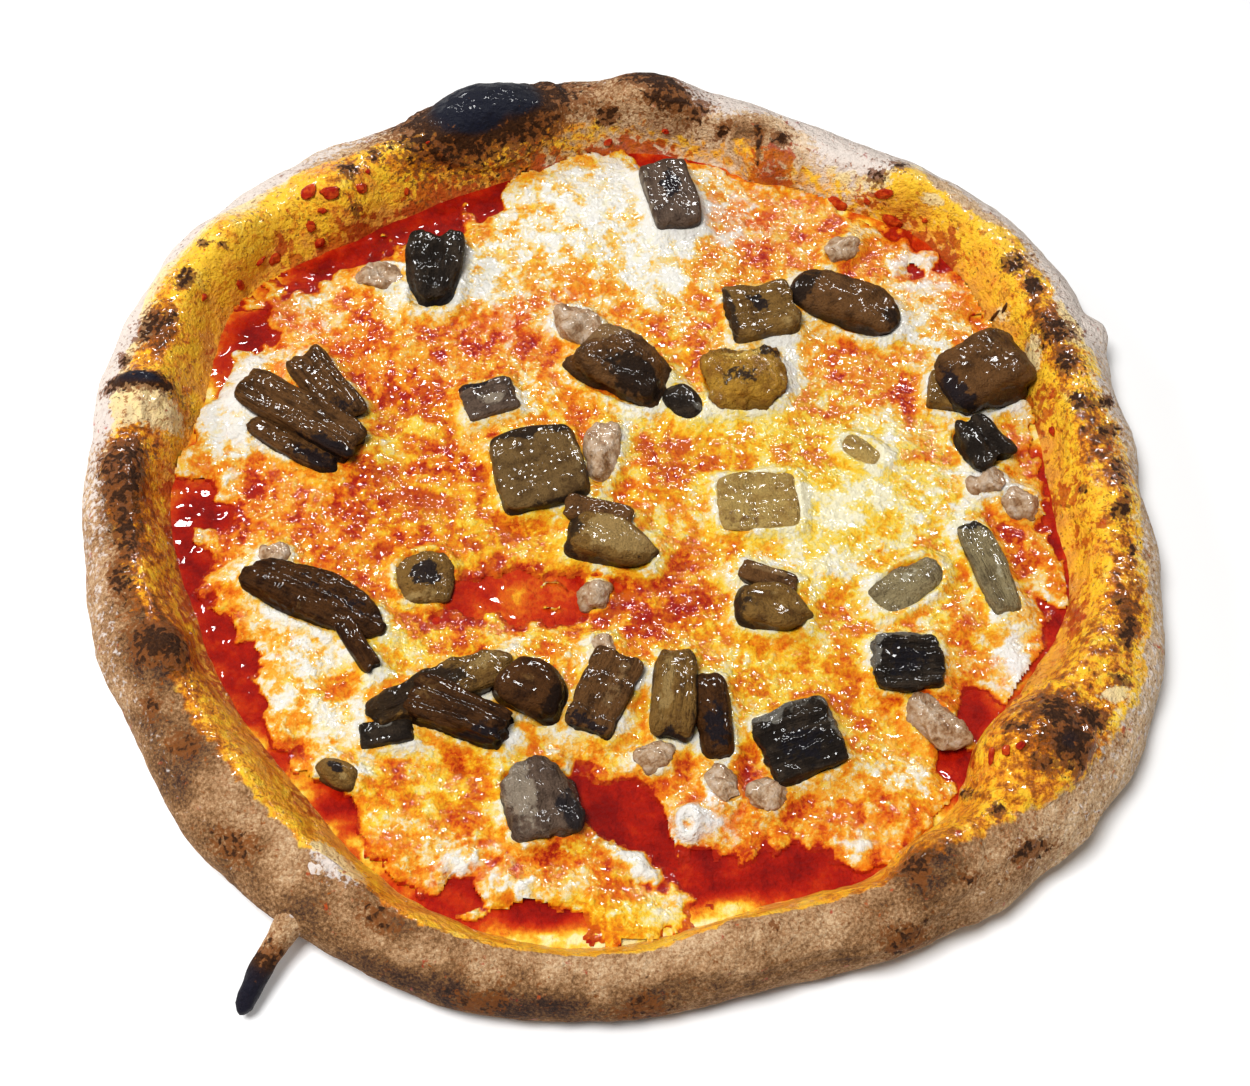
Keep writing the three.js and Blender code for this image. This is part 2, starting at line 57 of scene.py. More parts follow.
BASE = 4.5
SAUCE_TOP = 7.5
CHEESE_BASE = 7.8
RIM_STEP = 15.0
RIM_OUTER = np.array(
    [156, 157, 162, 159, 156, 157, 160, 160, 160, 166, 169, 166]
    + [161, 160, 159, 162, 162, 163, 160, 157, 162, 166, 169, 163],
    float,
)
RIM_INNER = np.array(
    [126, 127, 130, 136, 129, 130, 132, 126, 125, 130, 139, 130]
    + [133, 128, 126, 126, 133, 138, 137, 131, 135, 131, 126, 132],
    float,
)
RIM_HEIGHT = np.array(
    [23, 24, 24, 24, 22, 24, 25, 26, 26, 25, 25, 24, 25, 24, 23, 22, 21, 20, 20, 21, 23, 25, 24, 23],
    float,
)
CREST_SHARE, WAIST_SHARE, UNDERCUT_SHARE, CORE_SHARE = 0.45, 0.42, 0.3, 0.4
LUMP_RISE, LUMP_LENGTHS, TABLE_FADE = 1.0, (7.8, 5.8, 4.2), 8.0
CREST_RADIUS = 146.0  # of the rim's crest, about
SECTION_LENGTH = 58.0  # of the rim's skin, from the inner foot over the crest to the table

# Where the rim's section turns from the inner slope to the outer side, and from there to the
# underside, as shares of the section.
SLOPE_END, SIDE_END = 0.4, 0.75


@dataclass(frozen=True)
class Blister:
    """A blister or bulge of the rim, with its middle, its reach and how far it stands out."""

    angle: float
    radius: float
    z: float
    along: float
    across: float
    rise: float


BLISTERS = {
    "burnt": Blister(108, 146, 24, 29, 20, 6),
    "smoky": Blister(86, 148, 23, 20, 17, 5),
    "striped": Blister(70, 133, 15, 15, 13, 5),
    "yellow": Blister(51, 141, 21, 16, 13, 4),
    "pale": Blister(21, 156, 13, 9, 9, 3.5),
    "right": Blister(357, 145, 20, 20, 14, 2.5),
    "golden": Blister(322, 138, 18, 24, 23, 8),
    "cream": Blister(305, 145, 20, 15, 14, 4),
    "front": Blister(282, 146, 18, 22, 12, 2.5),
    "low_front": Blister(222, 144, 19, 18, 14, 3),
    "brown": Blister(204, 141, 20, 13, 12, 3.5),
    "torn": Blister(170, 146, 21, 15, 16, 4),
    "corner": Blister(146, 149, 22, 20, 16, 4),
    "spotted": Blister(131, 136, 18, 17, 17, 5),
}

TAIL_LINE = np.array([[-78, -118, 12], [-89, -135, 10.5], [-96, -147, 8], [-101, -158, 4.6]], float)
TAIL_RADII = np.array([11, 10, 8, 5.4, 4, 3.5, 3.3, 3.2, 2.9, 2.2])


@dataclass(frozen=True)
class Patch:
    """A round patch seen from above: its middle, half length, half width, turn and strength."""

    x: float
    y: float
    long: float
    wide: float
    turn: float
    strength: float

    def weight(self, x: np.ndarray, y: np.ndarray) -> np.ndarray:
        """The bell exp(-(a² + b²)), where a and b are the distances along and across the patch.

        Args:
            x: places along X.
            y: places along Y.

        Returns:
            1 in the middle, falling to 0 outside.
        """
        along, across = spun(x - self.x, y - self.y, -self.turn)
        return np.exp(-((along / self.long) ** 2 + (across / self.wide) ** 2))


def patches(rows: str) -> list[Patch]:
    """Patches from a text with six numbers a line: x, y, half length, half width, turn, strength."""
    return [Patch(*map(float, row.split())) for row in rows.strip().splitlines()]


def painted(x: np.ndarray, y: np.ndarray, layers: Sequence[Patch]) -> np.ndarray:
    """The sum of all patches' weights times their strengths."""
    return sum(layer.strength * layer.weight(x, y) for layer in layers)


MELT, MELT_WAVE, MELT_LENGTHS, MELT_THICKEST = 1.5, 0.45, (7.0, 8.0, 11.0, 13.0), 4.0
MELT_EDGE, MELT_REACH, POOL_DEPTH = 4.0, 1.5, 4.5
MELT_SWELLS = patches("""
    0 100 40 22 -30 2
    -62 68 32 18 30 1
    -117 26 13 22 0 1.1
    70 5 42 22 -8 1.3
    92 62 26 14 -50 1
    -92 -62 22 16 -40 1.2
    -15 -116 42 12 -4 0.7
    75 -95 18 12 45 0.9
    112 -62 12 8 20 1.2
    36 60 30 18 10 0.8
    19 -107 10 8 0 4.6
""")
POOLS = patches("""
    8 -106 30 8 -24 4.5
    48 -120 28 9 4 4.5
    -50 -129 17 6 -18 4.5
    -24 -131 12 5 -6 4.5
    -111 -53 26 7 -62 4.5
    -129 -10 22 8 100 4.5
    -58 112 33 11 24 4.5
    -85 92 20 6 42 4.5
    -119 58 12 7 60 4.5
    14 130 14 5 0 4.5
    54 123 12 5 -24 4.5
    99 92 15 6 -48 4.5
    129 -3 11 7 90 4.5
    129 -41 16 8 68 4.5
    98 -80 16 6 70 4.5
    -79 -100 8 6 0 4.5
    -30 -34 22 8 0 4.5
""")


@dataclass(frozen=True)
class Cut:
    """How a slice is cut. square: 2 is an egg, 10 is close to a block. tail and head are the widths
    at the two ends, slim how much thinner the head is, arch and bend how far the middle is bowed up
    and to the side, rough the unevenness of its size."""

    square: float
    tail: float
    head: float
    slim: float
    arch: float
    bend: float
    rough: float


CUTS = {
    "slab": Cut(10, 1, 0.95, 0, 0, 0, 0.03),
    "strip": Cut(8, 0.9, 0.85, 0, 0.8, 0, 0.05),
    "leaf": Cut(2.8, 0.95, 0.7, 0.25, 0.6, 1.5, 0.04),
    "stem": Cut(4.5, 0.85, 1.05, 0, 0.4, 0, 0.04),
    "wedge": Cut(5, 1.1, 0.35, 0.3, 0, 0, 0.06),
    "curl": Cut(3.6, 0.95, 0.9, 0, 2.2, 2, 0.06),
    "lump": Cut(2.5, 1, 1, 0, 0, 0, 0.08),
    "crumb": Cut(2.2, 1, 1, 0, 0, 0, 0.14),
}


# -------- Sums --------


def smooth(low: float, high: float, value: np.ndarray) -> np.ndarray:
    """A soft step from 0 at low to 1 at high, 3t² - 2t³."""
    t = np.clip((value - low) / (high - low), 0, 1)
    return t * t * (3 - 2 * t)


def read_round(values: np.ndarray, angle: np.ndarray, step: float = RIM_STEP) -> np.ndarray:
    """A closed Catmull-Rom curve through values that stand every step degrees, read at angles.

    Args:
        values: a value each step degrees.
        angle: degrees.
        step: degrees between values.

    Returns:
        The values between, on a smooth closed curve.
    """
    place = (angle % 360.0) / step
    first = np.floor(place).astype(int)
    t = place - first
    a, b, c, d = (values[(first + k) % len(values)] for k in (-1, 0, 1, 2))
    return b + 0.5 * t * (c - a + t * (2 * a - 5 * b + 4 * c - d + t * (3 * (b - c) + d - a)))


def spun(x: np.ndarray, y: np.ndarray, turn: float) -> tuple[np.ndarray, np.ndarray]:
    """Places turned counterclockwise round the origin: x cos t - y sin t, x sin t + y cos t."""
    cos, sin = np.cos(np.radians(turn)), np.sin(np.radians(turn))
    return x * cos - y * sin, x * sin + y * cos


def angle_from(angle: np.ndarray, start: float) -> np.ndarray:
    """How far angles lie from a start, from -180 to 180."""
    return (angle - start + 540) % 360 - 180


class Noise:
    """Seeded smooth noise over points in space."""

    SIZE = 4096
    PRIMES = np.array([73856093, 19349663, 83492791])

    def __init__(self, seed: int) -> None:
        """Draws the random values from a seed."""
        self.values = np.random.default_rng(seed).uniform(-1, 1, (self.SIZE, 3))

    def _at(self, cell: np.ndarray) -> np.ndarray:
        """The three random numbers of whole-numbered cells."""
        key = cell * self.PRIMES
        return self.values[(key[..., 0] ^ key[..., 1] ^ key[..., 2]) & (self.SIZE - 1)]

    def value(self, points: np.ndarray, length: float) -> np.ndarray:
        """Noise from -1 to 1: random values at the corners of cells of this length, blended by
        6t⁵ - 15t⁴ + 10t³.

        Args:
            points: places.
            length: the lumps' size.

        Returns:
            Values from -1 to 1.
        """
        place = points / length
        cell = np.floor(place).astype(np.int64)
        t = place - cell
        t = t * t * t * (t * (t * 6 - 15) + 10)
        total = np.zeros(len(points))
        for corner in itertools.product((0, 1), repeat=3):
            share = np.prod(np.where(corner, t, 1 - t), axis=1)
            total += share * self._at(cell + np.array(corner))[:, 0]
        return total

    def clouds(self, points: np.ndarray, length: float, octaves: int = 4) -> np.ndarray:
        """Octaves of noise, each half as long and half as strong as the last, from -1 to 1."""
        layers = [self.value(points + 17.3 * k, length / 2**k) / 2**k for k in range(octaves)]
        return sum(layers) / (2 - 0.5 ** (octaves - 1))

    def pebbles(self, points: np.ndarray, length: float) -> np.ndarray:
        """The distance to the nearest of points scattered one a cell: 0 in the middle of a pebble
        and about 1 between pebbles.

        Args:
            points: places.
            length: the pebbles' size.

        Returns:
            Values from 0 in the gaps to 1.
        """
        place = points / length
        cell = np.floor(place).astype(np.int64)
        nearest = np.full(len(points), 9.0)
        for step in itertools.product((-1, 0, 1), repeat=3):
            there = cell + np.array(step)
            middle = there + 0.5 + 0.42 * self._at(there)
            nearest = np.minimum(nearest, ((place - middle) ** 2).sum(1))
        return np.sqrt(nearest)


class Bed:
    """The surface of the melted cheese and the sauce under the toppings."""

    @staticmethod
    def thickness(x: np.ndarray, y: np.ndarray) -> np.ndarray:
        """The cheese's thickness, below zero where sauce is bare: an even layer with ripples, plus
        the swells, minus the pools, thinning out by a square along the rim's foot.

        Args:
            x: places.
            y: places.

        Returns:
            Thickness in millimetres.
        """
        long, deep, long_bend, deep_bend = MELT_LENGTHS
        ripple = np.sin(x / long + np.sin(y / long_bend)) * np.sin(y / deep + np.sin(x / deep_bend))
        thick = MELT + MELT_WAVE * ripple + painted(x, y, MELT_SWELLS) - painted(x, y, POOLS)
        foot = read_round(RIM_INNER, np.degrees(np.arctan2(y, x)))
        edge = np.maximum(0, (np.hypot(x, y) - (foot + MELT_REACH - MELT_EDGE)) / MELT_EDGE)
        return np.maximum(-POOL_DEPTH, np.minimum(thick, MELT_THICKEST) - edge**2 * MELT_THICKEST)

    @classmethod
    def height(cls, x: np.ndarray, y: np.ndarray) -> np.ndarray:
        """The height that toppings lie on."""
        return np.maximum(SAUCE_TOP, CHEESE_BASE + cls.thickness(x, y))


class Rim:
    """The rim's skin as a surface over the angle and the share of its section."""

    @staticmethod
    def rise(angle: np.ndarray, radius: np.ndarray, z: np.ndarray) -> np.ndarray:
        """How far the dough stands out: uneven lumps, and each blister as (1 - a² - b²)².

        Args:
            angle: degrees.
            radius: places.
            z: their heights.

        Returns:
            How far the place is lifted.
        """
        long, deep, high = LUMP_LENGTHS
        x, y = radius * np.cos(np.radians(angle)), radius * np.sin(np.radians(angle))
        total = LUMP_RISE * np.sin(x / long + 1) * np.sin(y / deep + 2) * np.cos(z / high)
        for b in BLISTERS.values():
            along = np.radians(angle_from(angle, b.angle)) * b.radius / b.along
            across = np.hypot(radius - b.radius, z - b.z) / b.across
            total = total + b.rise * np.maximum(0, 1 - along**2 - across**2) ** 2
        return total * np.minimum(1, z / TABLE_FADE)

    @classmethod
    def points(cls, angle: np.ndarray, share: np.ndarray) -> np.ndarray:
        """Points of the skin: up the inner slope along a cosine, over the crest and down the outer
        side along a quarter ellipse, and under along another, each pushed away from the core.

        Args:
            angle: degrees.
            share: how far round the section.

        Returns:
            Points of the crust's skin.
        """
        foot, outer = read_round(RIM_INNER, angle), read_round(RIM_OUTER, angle)
        height = read_round(RIM_HEIGHT, angle)
        crest = foot + CREST_SHARE * (outer - foot)
        waist, undercut = WAIST_SHARE * height, UNDERCUT_SHARE * (outer - foot)
        s = np.clip(share / SLOPE_END, 0, 1)
        side = np.clip((share - SLOPE_END) / (SIDE_END - SLOPE_END), 0, 1) * np.pi / 2
        under = np.clip((share - SIDE_END) / (1 - SIDE_END), 0, 1) * np.pi / 2
        on_slope, on_side = share < SLOPE_END, share < SIDE_END
        radius = np.select(
            [on_slope, on_side],
            [foot + s * (crest - foot), crest + (outer - crest) * np.sin(side)],
            outer - undercut * (1 - np.cos(under)),
        )
        z = np.select(
            [on_slope, on_side],
            [BASE + (1 - np.cos(np.pi * s)) / 2 * (height - BASE), waist + (height - waist) * np.cos(side)],
            waist * (1 - np.sin(under)),
        )
        core_radius, core_height = (foot + outer) / 2, CORE_SHARE * height
        out, up = radius - core_radius, z - core_height
        push = cls.rise(angle, radius, z) / np.hypot(out, up)
        radius, z = radius + push * out, np.maximum(np.where(on_slope, BASE, 0), z + push * up)
        turn = np.radians(angle)
        return np.stack([radius * np.cos(turn), radius * np.sin(turn), z], axis=-1)

    @staticmethod
    def slope_radius(angle: np.ndarray, level: float) -> np.ndarray:
        """How far out the inner slope's cosine stands at a level, without the lumps.

        Args:
            angle: degrees.
            level: a height.

        Returns:
            The radius of the inner slope there.
        """
        foot, outer = read_round(RIM_INNER, angle), read_round(RIM_OUTER, angle)
        height = read_round(RIM_HEIGHT, angle)
        climb = np.arccos(1 - 2 * (level - BASE) / (height - BASE)) / np.pi
        return foot + climb * CREST_SHARE * (outer - foot)


# -------- Meshes --------


@dataclass
class Shape:
    """A mesh as arrays: points in millimetres, faces as rows of indices, and values per point."""

    points: np.ndarray
    faces: list[np.ndarray]
    values: dict[str, np.ndarray] = field(default_factory=dict)

    def normals(self) -> np.ndarray:
        """Unit normals at the points, from the faces round each."""
        total = np.zeros_like(self.points)
        for rows in self.faces:
            a, b, c = (self.points[rows[:, k]] for k in (0, 1, 2))
            facing = np.cross(b - a, c - a)
            for k in range(rows.shape[1]):
                for axis in range(3):
                    total[:, axis] += np.bincount(rows[:, k], facing[:, axis], len(self.points))
        return total / np.maximum(np.linalg.norm(total, axis=1, keepdims=True), 1e-9)

    def object(self, name: str) -> bpy.types.Object:
        """The shape as a smooth-shaded object in the scene, in metres.

        Args:
            name: the object's name.

        Returns:
            The object.
        """
        mesh = bpy.data.meshes.new(name)
        mesh.vertices.add(len(self.points))
        mesh.vertices.foreach_set("co", (self.points * MM).astype(np.float32).ravel())
        sizes = np.concatenate([np.full(len(rows), rows.shape[1]) for rows in self.faces])
        corners = np.concatenate([rows.ravel() for rows in self.faces])
        mesh.loops.add(len(corners))
        mesh.loops.foreach_set("vertex_index", corners.astype(np.int32))
        mesh.polygons.add(len(sizes))
        starts = np.concatenate([[0], np.cumsum(sizes)[:-1]])
        mesh.polygons.foreach_set("loop_start", starts.astype(np.int32))
        mesh.update(calc_edges=True)
        mesh.polygons.foreach_set("use_smooth", np.ones(len(sizes), bool))
        for key, value in self.values.items():
            if value.ndim == 1:
                mesh.attributes.new(key, "FLOAT", "POINT").data.foreach_set("value", value.astype(np.float32))
            else:
                attribute = mesh.attributes.new(key, "FLOAT_VECTOR", "POINT")
                attribute.data.foreach_set("vector", value.astype(np.float32).ravel())
        made = bpy.data.objects.new(name, mesh)
        bpy.context.scene.collection.objects.link(made)
        return made


def joined(shapes: Sequence[Shape]) -> Shape:
    """Several shapes with the same kinds of values as one.

    Args:
        shapes: shapes as points and faces.

    Returns:
        One shape.
    """
    starts = np.cumsum([0] + [len(shape.points) for shape in shapes])
    faces = [rows + start for shape, start in zip(shapes, starts) for rows in shape.faces]
    values = {key: np.concatenate([shape.values[key] for shape in shapes]) for key in shapes[0].values}
    return Shape(np.concatenate([shape.points for shape in shapes]), faces, values)


def grid_faces(rows: int, columns: int, closed: bool) -> np.ndarray:
    """Quads over a grid of rows × columns points, counted row by row.

    Args:
        rows: number of rows of points.
        columns: number of points in a row.
        closed: whether the last row joins the first.

    Returns:
        One row of four point numbers per quad.
    """
    i = np.arange(rows if closed else rows - 1)[:, None]
    j = np.arange(columns - 1)[None, :]
    k = (i + 1) % rows
    this, after = i * columns + j, k * columns + j
    return np.stack([this, after, after + 1, this + 1], -1).reshape(-1, 4)


def cube_shape(steps: Sequence[int]) -> Shape:
    """A cube from -1 to 1 with that many steps along its edges, its seams closed.

    Args:
        steps: the cells along each edge.

    Returns:
        Points and faces.
    """
    points, faces = [], []
    for axis, sign in itertools.product(range(3), (-1.0, 1.0)):
        a, b = (axis + 1) % 3, (axis + 2) % 3
        u, v = np.meshgrid(np.linspace(-1, 1, steps[a] + 1), np.linspace(-1, 1, steps[b] + 1), indexing="ij")
        side = np.empty(u.shape + (3,))
        side[..., axis], side[..., a], side[..., b] = sign, u, v
        rows = grid_faces(steps[a] + 1, steps[b] + 1, closed=False) + sum(len(p) for p in points)
        points.append(side.reshape(-1, 3))
        faces.append(rows if sign > 0 else rows[:, ::-1])
    every = np.concatenate(points)
    _, first, place = np.unique(np.round(every, 6), axis=0, return_index=True, return_inverse=True)
    return Shape(every[first], [place.reshape(-1)[np.concatenate(faces)]])


# -------- Shaders --------

Color = tuple[float, float, float]
Socket = Union[bpy.types.NodeSocket, float, Color]


class Graph:
    """Adds nodes to a shader tree and wires them."""

    def __init__(self, tree: bpy.types.NodeTree) -> None:
        """Starts on an empty shader tree."""
        self.tree = tree

    def node(self, kind: str, inputs: Optional[dict] = None, **settings) -> bpy.types.Node:
        """A node with its settings, and its inputs linked or set.

        Args:
            kind: the node's type name.
            inputs: sockets, numbers or colours by input name or number.
            settings: properties of the node.

        Returns:
            The new node.
        """
        made = self.tree.nodes.new(kind)
        for key, value in settings.items():
            setattr(made, key, value)
        for key, value in (inputs or {}).items():
            self.put(made.inputs[key], value)
        return made

    def put(self, target: bpy.types.NodeSocket, value: Socket) -> None:
        """Links a socket to an input, or sets the input to a constant."""
        if isinstance(value, bpy.types.NodeSocket):
            self.tree.links.new(value, target)
        elif isinstance(value, tuple) and target.type == "RGBA":
            target.default_value = (*value, 1.0)
        else:
            target.default_value = value

    def math(self, operation: str, a: Socket, b: Socket = 0.0, clamp: bool = False) -> bpy.types.NodeSocket:
        """A sum of two numbers, by the operation's name."""
        return self.node("ShaderNodeMath", {0: a, 1: b}, operation=operation, use_clamp=clamp).outputs[0]

    def add(self, *parts: Socket) -> bpy.types.NodeSocket:
        """All the numbers added up."""
        total, *others = parts
        for part in others:
            total = self.math("ADD", total, part)
        return total

    def times(self, a: Socket, b: Socket) -> bpy.types.NodeSocket:
        """One number times another."""
        return self.math("MULTIPLY", a, b)

    def step(self, value: Socket, low: float, high: float) -> bpy.types.NodeSocket:
        """A soft step from 0 at low to 1 at high."""
        inputs = {"Value": value, "From Min": low, "From Max": high}
        return self.node("ShaderNodeMapRange", inputs, interpolation_type="SMOOTHSTEP").outputs[0]

    def mix(self, share: Socket, a: Socket, b: Socket, blend: str = "MIX") -> bpy.types.NodeSocket:
        """Colour a with this share of colour b over it."""
        made = self.node("ShaderNodeMix", data_type="RGBA", blend_type=blend)
        for key, value in (("Factor_Float", share), ("A_Color", a), ("B_Color", b)):
            self.put(next(s for s in made.inputs if s.identifier == key), value)
        return next(s for s in made.outputs if s.identifier == "Result_Color")

    def ramp(self, value: Socket, stops: Sequence[tuple[float, Color]]) -> bpy.types.NodeSocket:
        """A colour read from stops of (place, colour).

        Args:
            value: the factor.
            stops: places and colours.

        Returns:
            The colour.
        """
        made = self.node("ShaderNodeValToRGB", {0: value})
        elements = made.color_ramp.elements
        while len(elements) < len(stops):
            elements.new(1.0)
        for element, (place, color) in zip(elements, stops):
            element.position, element.color = place, (*color, 1.0)
        return made.outputs["Color"]

    def noise(
        self, place: Socket, length: Socket, detail: float = 3, rough: float = 0.5, bend: float = 0
    ) -> bpy.types.NodeSocket:
        """Clouds from -1 to 1 whose cells have a length in the same unit as the place.

        Args:
            place: where.
            length: the lumps' size.
            detail: octaves.
            rough: their share.
            bend: distortion.

        Returns:
            A number round 0.
        """
        scale = 1 / length if isinstance(length, (int, float)) else self.math("DIVIDE", 1.0, length)
        inputs = {"Vector": place, "Scale": scale, "Detail": detail, "Roughness": rough, "Distortion": bend}
        raw = self.node("ShaderNodeTexNoise", inputs).outputs[0]
        return self.math("MULTIPLY", self.math("SUBTRACT", raw, 0.5), 4.0)

    def value(self, name: str) -> bpy.types.NodeSocket:
        """A number per point that the mesh carries."""
        return self.node("ShaderNodeAttribute", attribute_name=name).outputs["Fac"]

    def vector(self, name: str) -> bpy.types.NodeSocket:
        """A vector per point that the mesh carries."""
        return self.node("ShaderNodeAttribute", attribute_name=name).outputs["Vector"]

    def place(self) -> bpy.types.NodeSocket:
        """The place in the object, in millimetres."""
        metres = self.node("ShaderNodeTexCoord").outputs["Object"]
        return self.node("ShaderNodeVectorMath", {0: metres, "Scale": 1 / MM}, operation="SCALE").outputs[0]

    def use(self, effect: bpy.types.NodeTree, **inputs: Socket) -> bpy.types.NodeSocket:
        """The first output of a shared effect."""
        made = self.node("ShaderNodeGroup", node_tree=effect)
        for key, value in inputs.items():
            self.put(made.inputs[key.replace("_", " ").capitalize()], value)
        return made.outputs[0]


def effect(name: str, sizes: Sequence[str], output: str, build: Callable) -> bpy.types.NodeTree:
    """A shared effect: a node group that reads a place and some numbers and puts out a number.

    Args:
        name: the group's name.
        sizes: the names of the numbers that it reads, beside the place.
        output: the output's name.
        build: gets the graph and the inputs' sockets by name, and returns the output's socket.

    Returns:
        The node group.
    """
    tree = bpy.data.node_groups.new(name, "ShaderNodeTree")
    tree.interface.new_socket(name="Place", in_out="INPUT", socket_type="NodeSocketVector")
    for key in sizes:
        tree.interface.new_socket(name=key, in_out="INPUT", socket_type="NodeSocketFloat")
    tree.interface.new_socket(name=output, in_out="OUTPUT", socket_type="NodeSocketFloat")
    graph = Graph(tree)
    entry = graph.node("NodeGroupInput")
    leave = graph.node("NodeGroupOutput")
    graph.put(leave.inputs[0], build(graph, {key: entry.outputs[key] for key in ("Place", *sizes)}))
    return tree


class Effects:
    """The shader effects that several materials share."""

    def __init__(self) -> None:
        """Builds each effect once."""
        self.ragged = effect("ragged edge", ("Mask", "Size", "Raggedness"), "Mask", self._ragged)
        self.flecks = effect("flecks", ("Size", "Cover"), "Mask", self._flecks)
        self.fibres = effect("fibres", ("Width",), "Height", self._fibres)
        self.grain = effect("grain", ("Coarse", "Fine"), "Height", self._grain)
        self.lines = effect("lines", ("Size",), "Mask", self._lines)

    @staticmethod
    def _ragged(g: Graph, at: dict) -> bpy.types.NodeSocket:
        """A mask whose soft edge is broken up by noise of two sizes."""
        coarse = g.noise(at["Place"], at["Size"], detail=4, bend=0.4)
        pushed = g.add(at["Mask"], g.times(coarse, at["Raggedness"]))
        return g.step(pushed, 0.38, 0.62)

    @staticmethod
    def _flecks(g: Graph, at: dict) -> bpy.types.NodeSocket:
        """Small irregular flecks that cover about that share of the surface."""
        raw = g.noise(at["Place"], at["Size"], detail=3, rough=0.6, bend=0.6)
        low = g.math("SUBTRACT", 0.75, g.times(at["Cover"], 1.5))
        return g.step(g.math("SUBTRACT", raw, low), 0.0, 0.3)

    @staticmethod
    def _lines(g: Graph, at: dict) -> bpy.types.NodeSocket:
        """Thin broken lines, where bent noise crosses zero."""
        raw = g.noise(at["Place"], at["Size"], detail=3, rough=0.6, bend=0.7)
        broken = g.noise(at["Place"], g.times(at["Size"], 1.3), detail=2)
        return g.times(g.step(g.math("ABSOLUTE", raw), 0.16, 0.03), g.step(broken, 0.0, 0.5))

    @staticmethod
    def _fibres(g: Graph, at: dict) -> bpy.types.NodeSocket:
        """Fine streaks along X of the place, about Width apart.

        Args:
            g: the group's graph.
            at: its inputs.

        Returns:
            The height.
        """
        scale = {0: at["Place"], 1: (0.12, 1.0, 1.0)}
        stretch = g.node("ShaderNodeVectorMath", scale, operation="MULTIPLY").outputs[0]
        broad = g.noise(stretch, at["Width"], detail=4, rough=0.6, bend=0.3)
        return g.add(broad, g.times(g.noise(stretch, g.times(at["Width"], 3.1), detail=2), 0.6))

    @staticmethod
    def _grain(g: Graph, at: dict) -> bpy.types.NodeSocket:
        """Relief of two sizes, the coarse one twice as strong."""
        coarse = g.noise(at["Place"], at["Coarse"], detail=3)
        return g.add(coarse, g.times(g.noise(at["Place"], at["Fine"], detail=3, rough=0.6), 0.5))


@dataclass(frozen=True)
class Gloss:
    """How a surface shines: its roughness, its wet coat, and how strongly it mirrors."""

    roughness: float
    coat: float = 0.0
    coat_roughness: float = 0.1
    mirror: float = 0.25


class Material:
    """A material with one Principled shader, whose colour and relief a graph works out."""

    def __init__(self, name: str, gloss: Gloss) -> None:
        """Makes the material and sets what is the same all over it.

        Args:
            name: the material's name.
            gloss: how it shines.
        """
        self.made = bpy.data.materials.new(name)
        self.made.use_nodes = True
        self.made.node_tree.nodes.clear()
        self.graph = Graph(self.made.node_tree)
        self.shader = self.graph.node(
            "ShaderNodeBsdfPrincipled",
            {
                "Roughness": gloss.roughness,
                "Coat Weight": gloss.coat,
                "Coat Roughness": gloss.coat_roughness,
                "Specular IOR Level": gloss.mirror,
            },
        )
        output = self.graph.node("ShaderNodeOutputMaterial")
        self.graph.put(output.inputs["Surface"], self.shader.outputs[0])

    def color(self, value: Socket) -> None:
        """Sets the shader's colour."""
        self.graph.put(self.shader.inputs["Base Color"], value)

    def shine(self, name: str, value: Socket) -> None:
        """Sets one of the shader's inputs."""
        self.graph.put(self.shader.inputs[name], value)

    def relief(self, height: Socket, depth_mm: float) -> None:
        """Fine relief as a bump, from a height of about -1 to 1 and its depth."""
        self._bump("Normal", height, depth_mm)

    def wet(self, place: Socket, length: float, depth_mm: float) -> None:
        """Waves of the wet coat, about that length, which break up what it mirrors into glints."""
        self._bump("Coat Normal", self.graph.noise(place, length, detail=0), depth_mm)

    def _bump(self, name: str, height: Socket, depth_mm: float) -> None:
        """Feeds one of the shader's normals by a bump."""
        bump = self.graph.node("ShaderNodeBump", {"Height": height, "Distance": depth_mm * MM, "Strength": 1.0})
        self.graph.put(self.shader.inputs[name], bump.outputs[0])

    def dress(self, made: bpy.types.Object) -> None:
        """Gives an object this material."""
        made.data.materials.append(self.made)


# -------- The crust --------


class Tint(Enum):
    """What a place on the crust is coloured by."""

    CHAR = "char"
    TOAST = "toast"
    OIL = "oil"
    FLOUR = "flour"
    TOMATO = "tomato"


@dataclass(frozen=True)
class RimMark:
    """A coloured place on the rim: its angle, its share of the section, its half sizes along and
    across the rim, its turn and its strength."""

    angle: float
    share: float
    along: float
    across: float
    turn: float
    strength: float

    def weight(self, angle: np.ndarray, share: np.ndarray) -> np.ndarray:
        """1 in the middle, 0.5 at the edge and 0 beyond, as 1 / (1 + d⁴).

        Args:
            angle: degrees.
            share: how far round the section.

        Returns:
            Weights.
        """
        round_rim = np.radians(angle_from(angle, self.angle)) * CREST_RADIUS
        over_rim = (share - self.share) * SECTION_LENGTH
        a, b = spun(round_rim, over_rim, -self.turn)
        return 1 / (1 + ((a / self.along) ** 2 + (b / self.across) ** 2) ** 2)


def rim_marks(rows: str) -> list[RimMark]:
    """Marks from a text with six numbers a line: angle, share, along, across, turn, strength."""
    return [RimMark(*map(float, row.split())) for row in rows.strip().splitlines()]


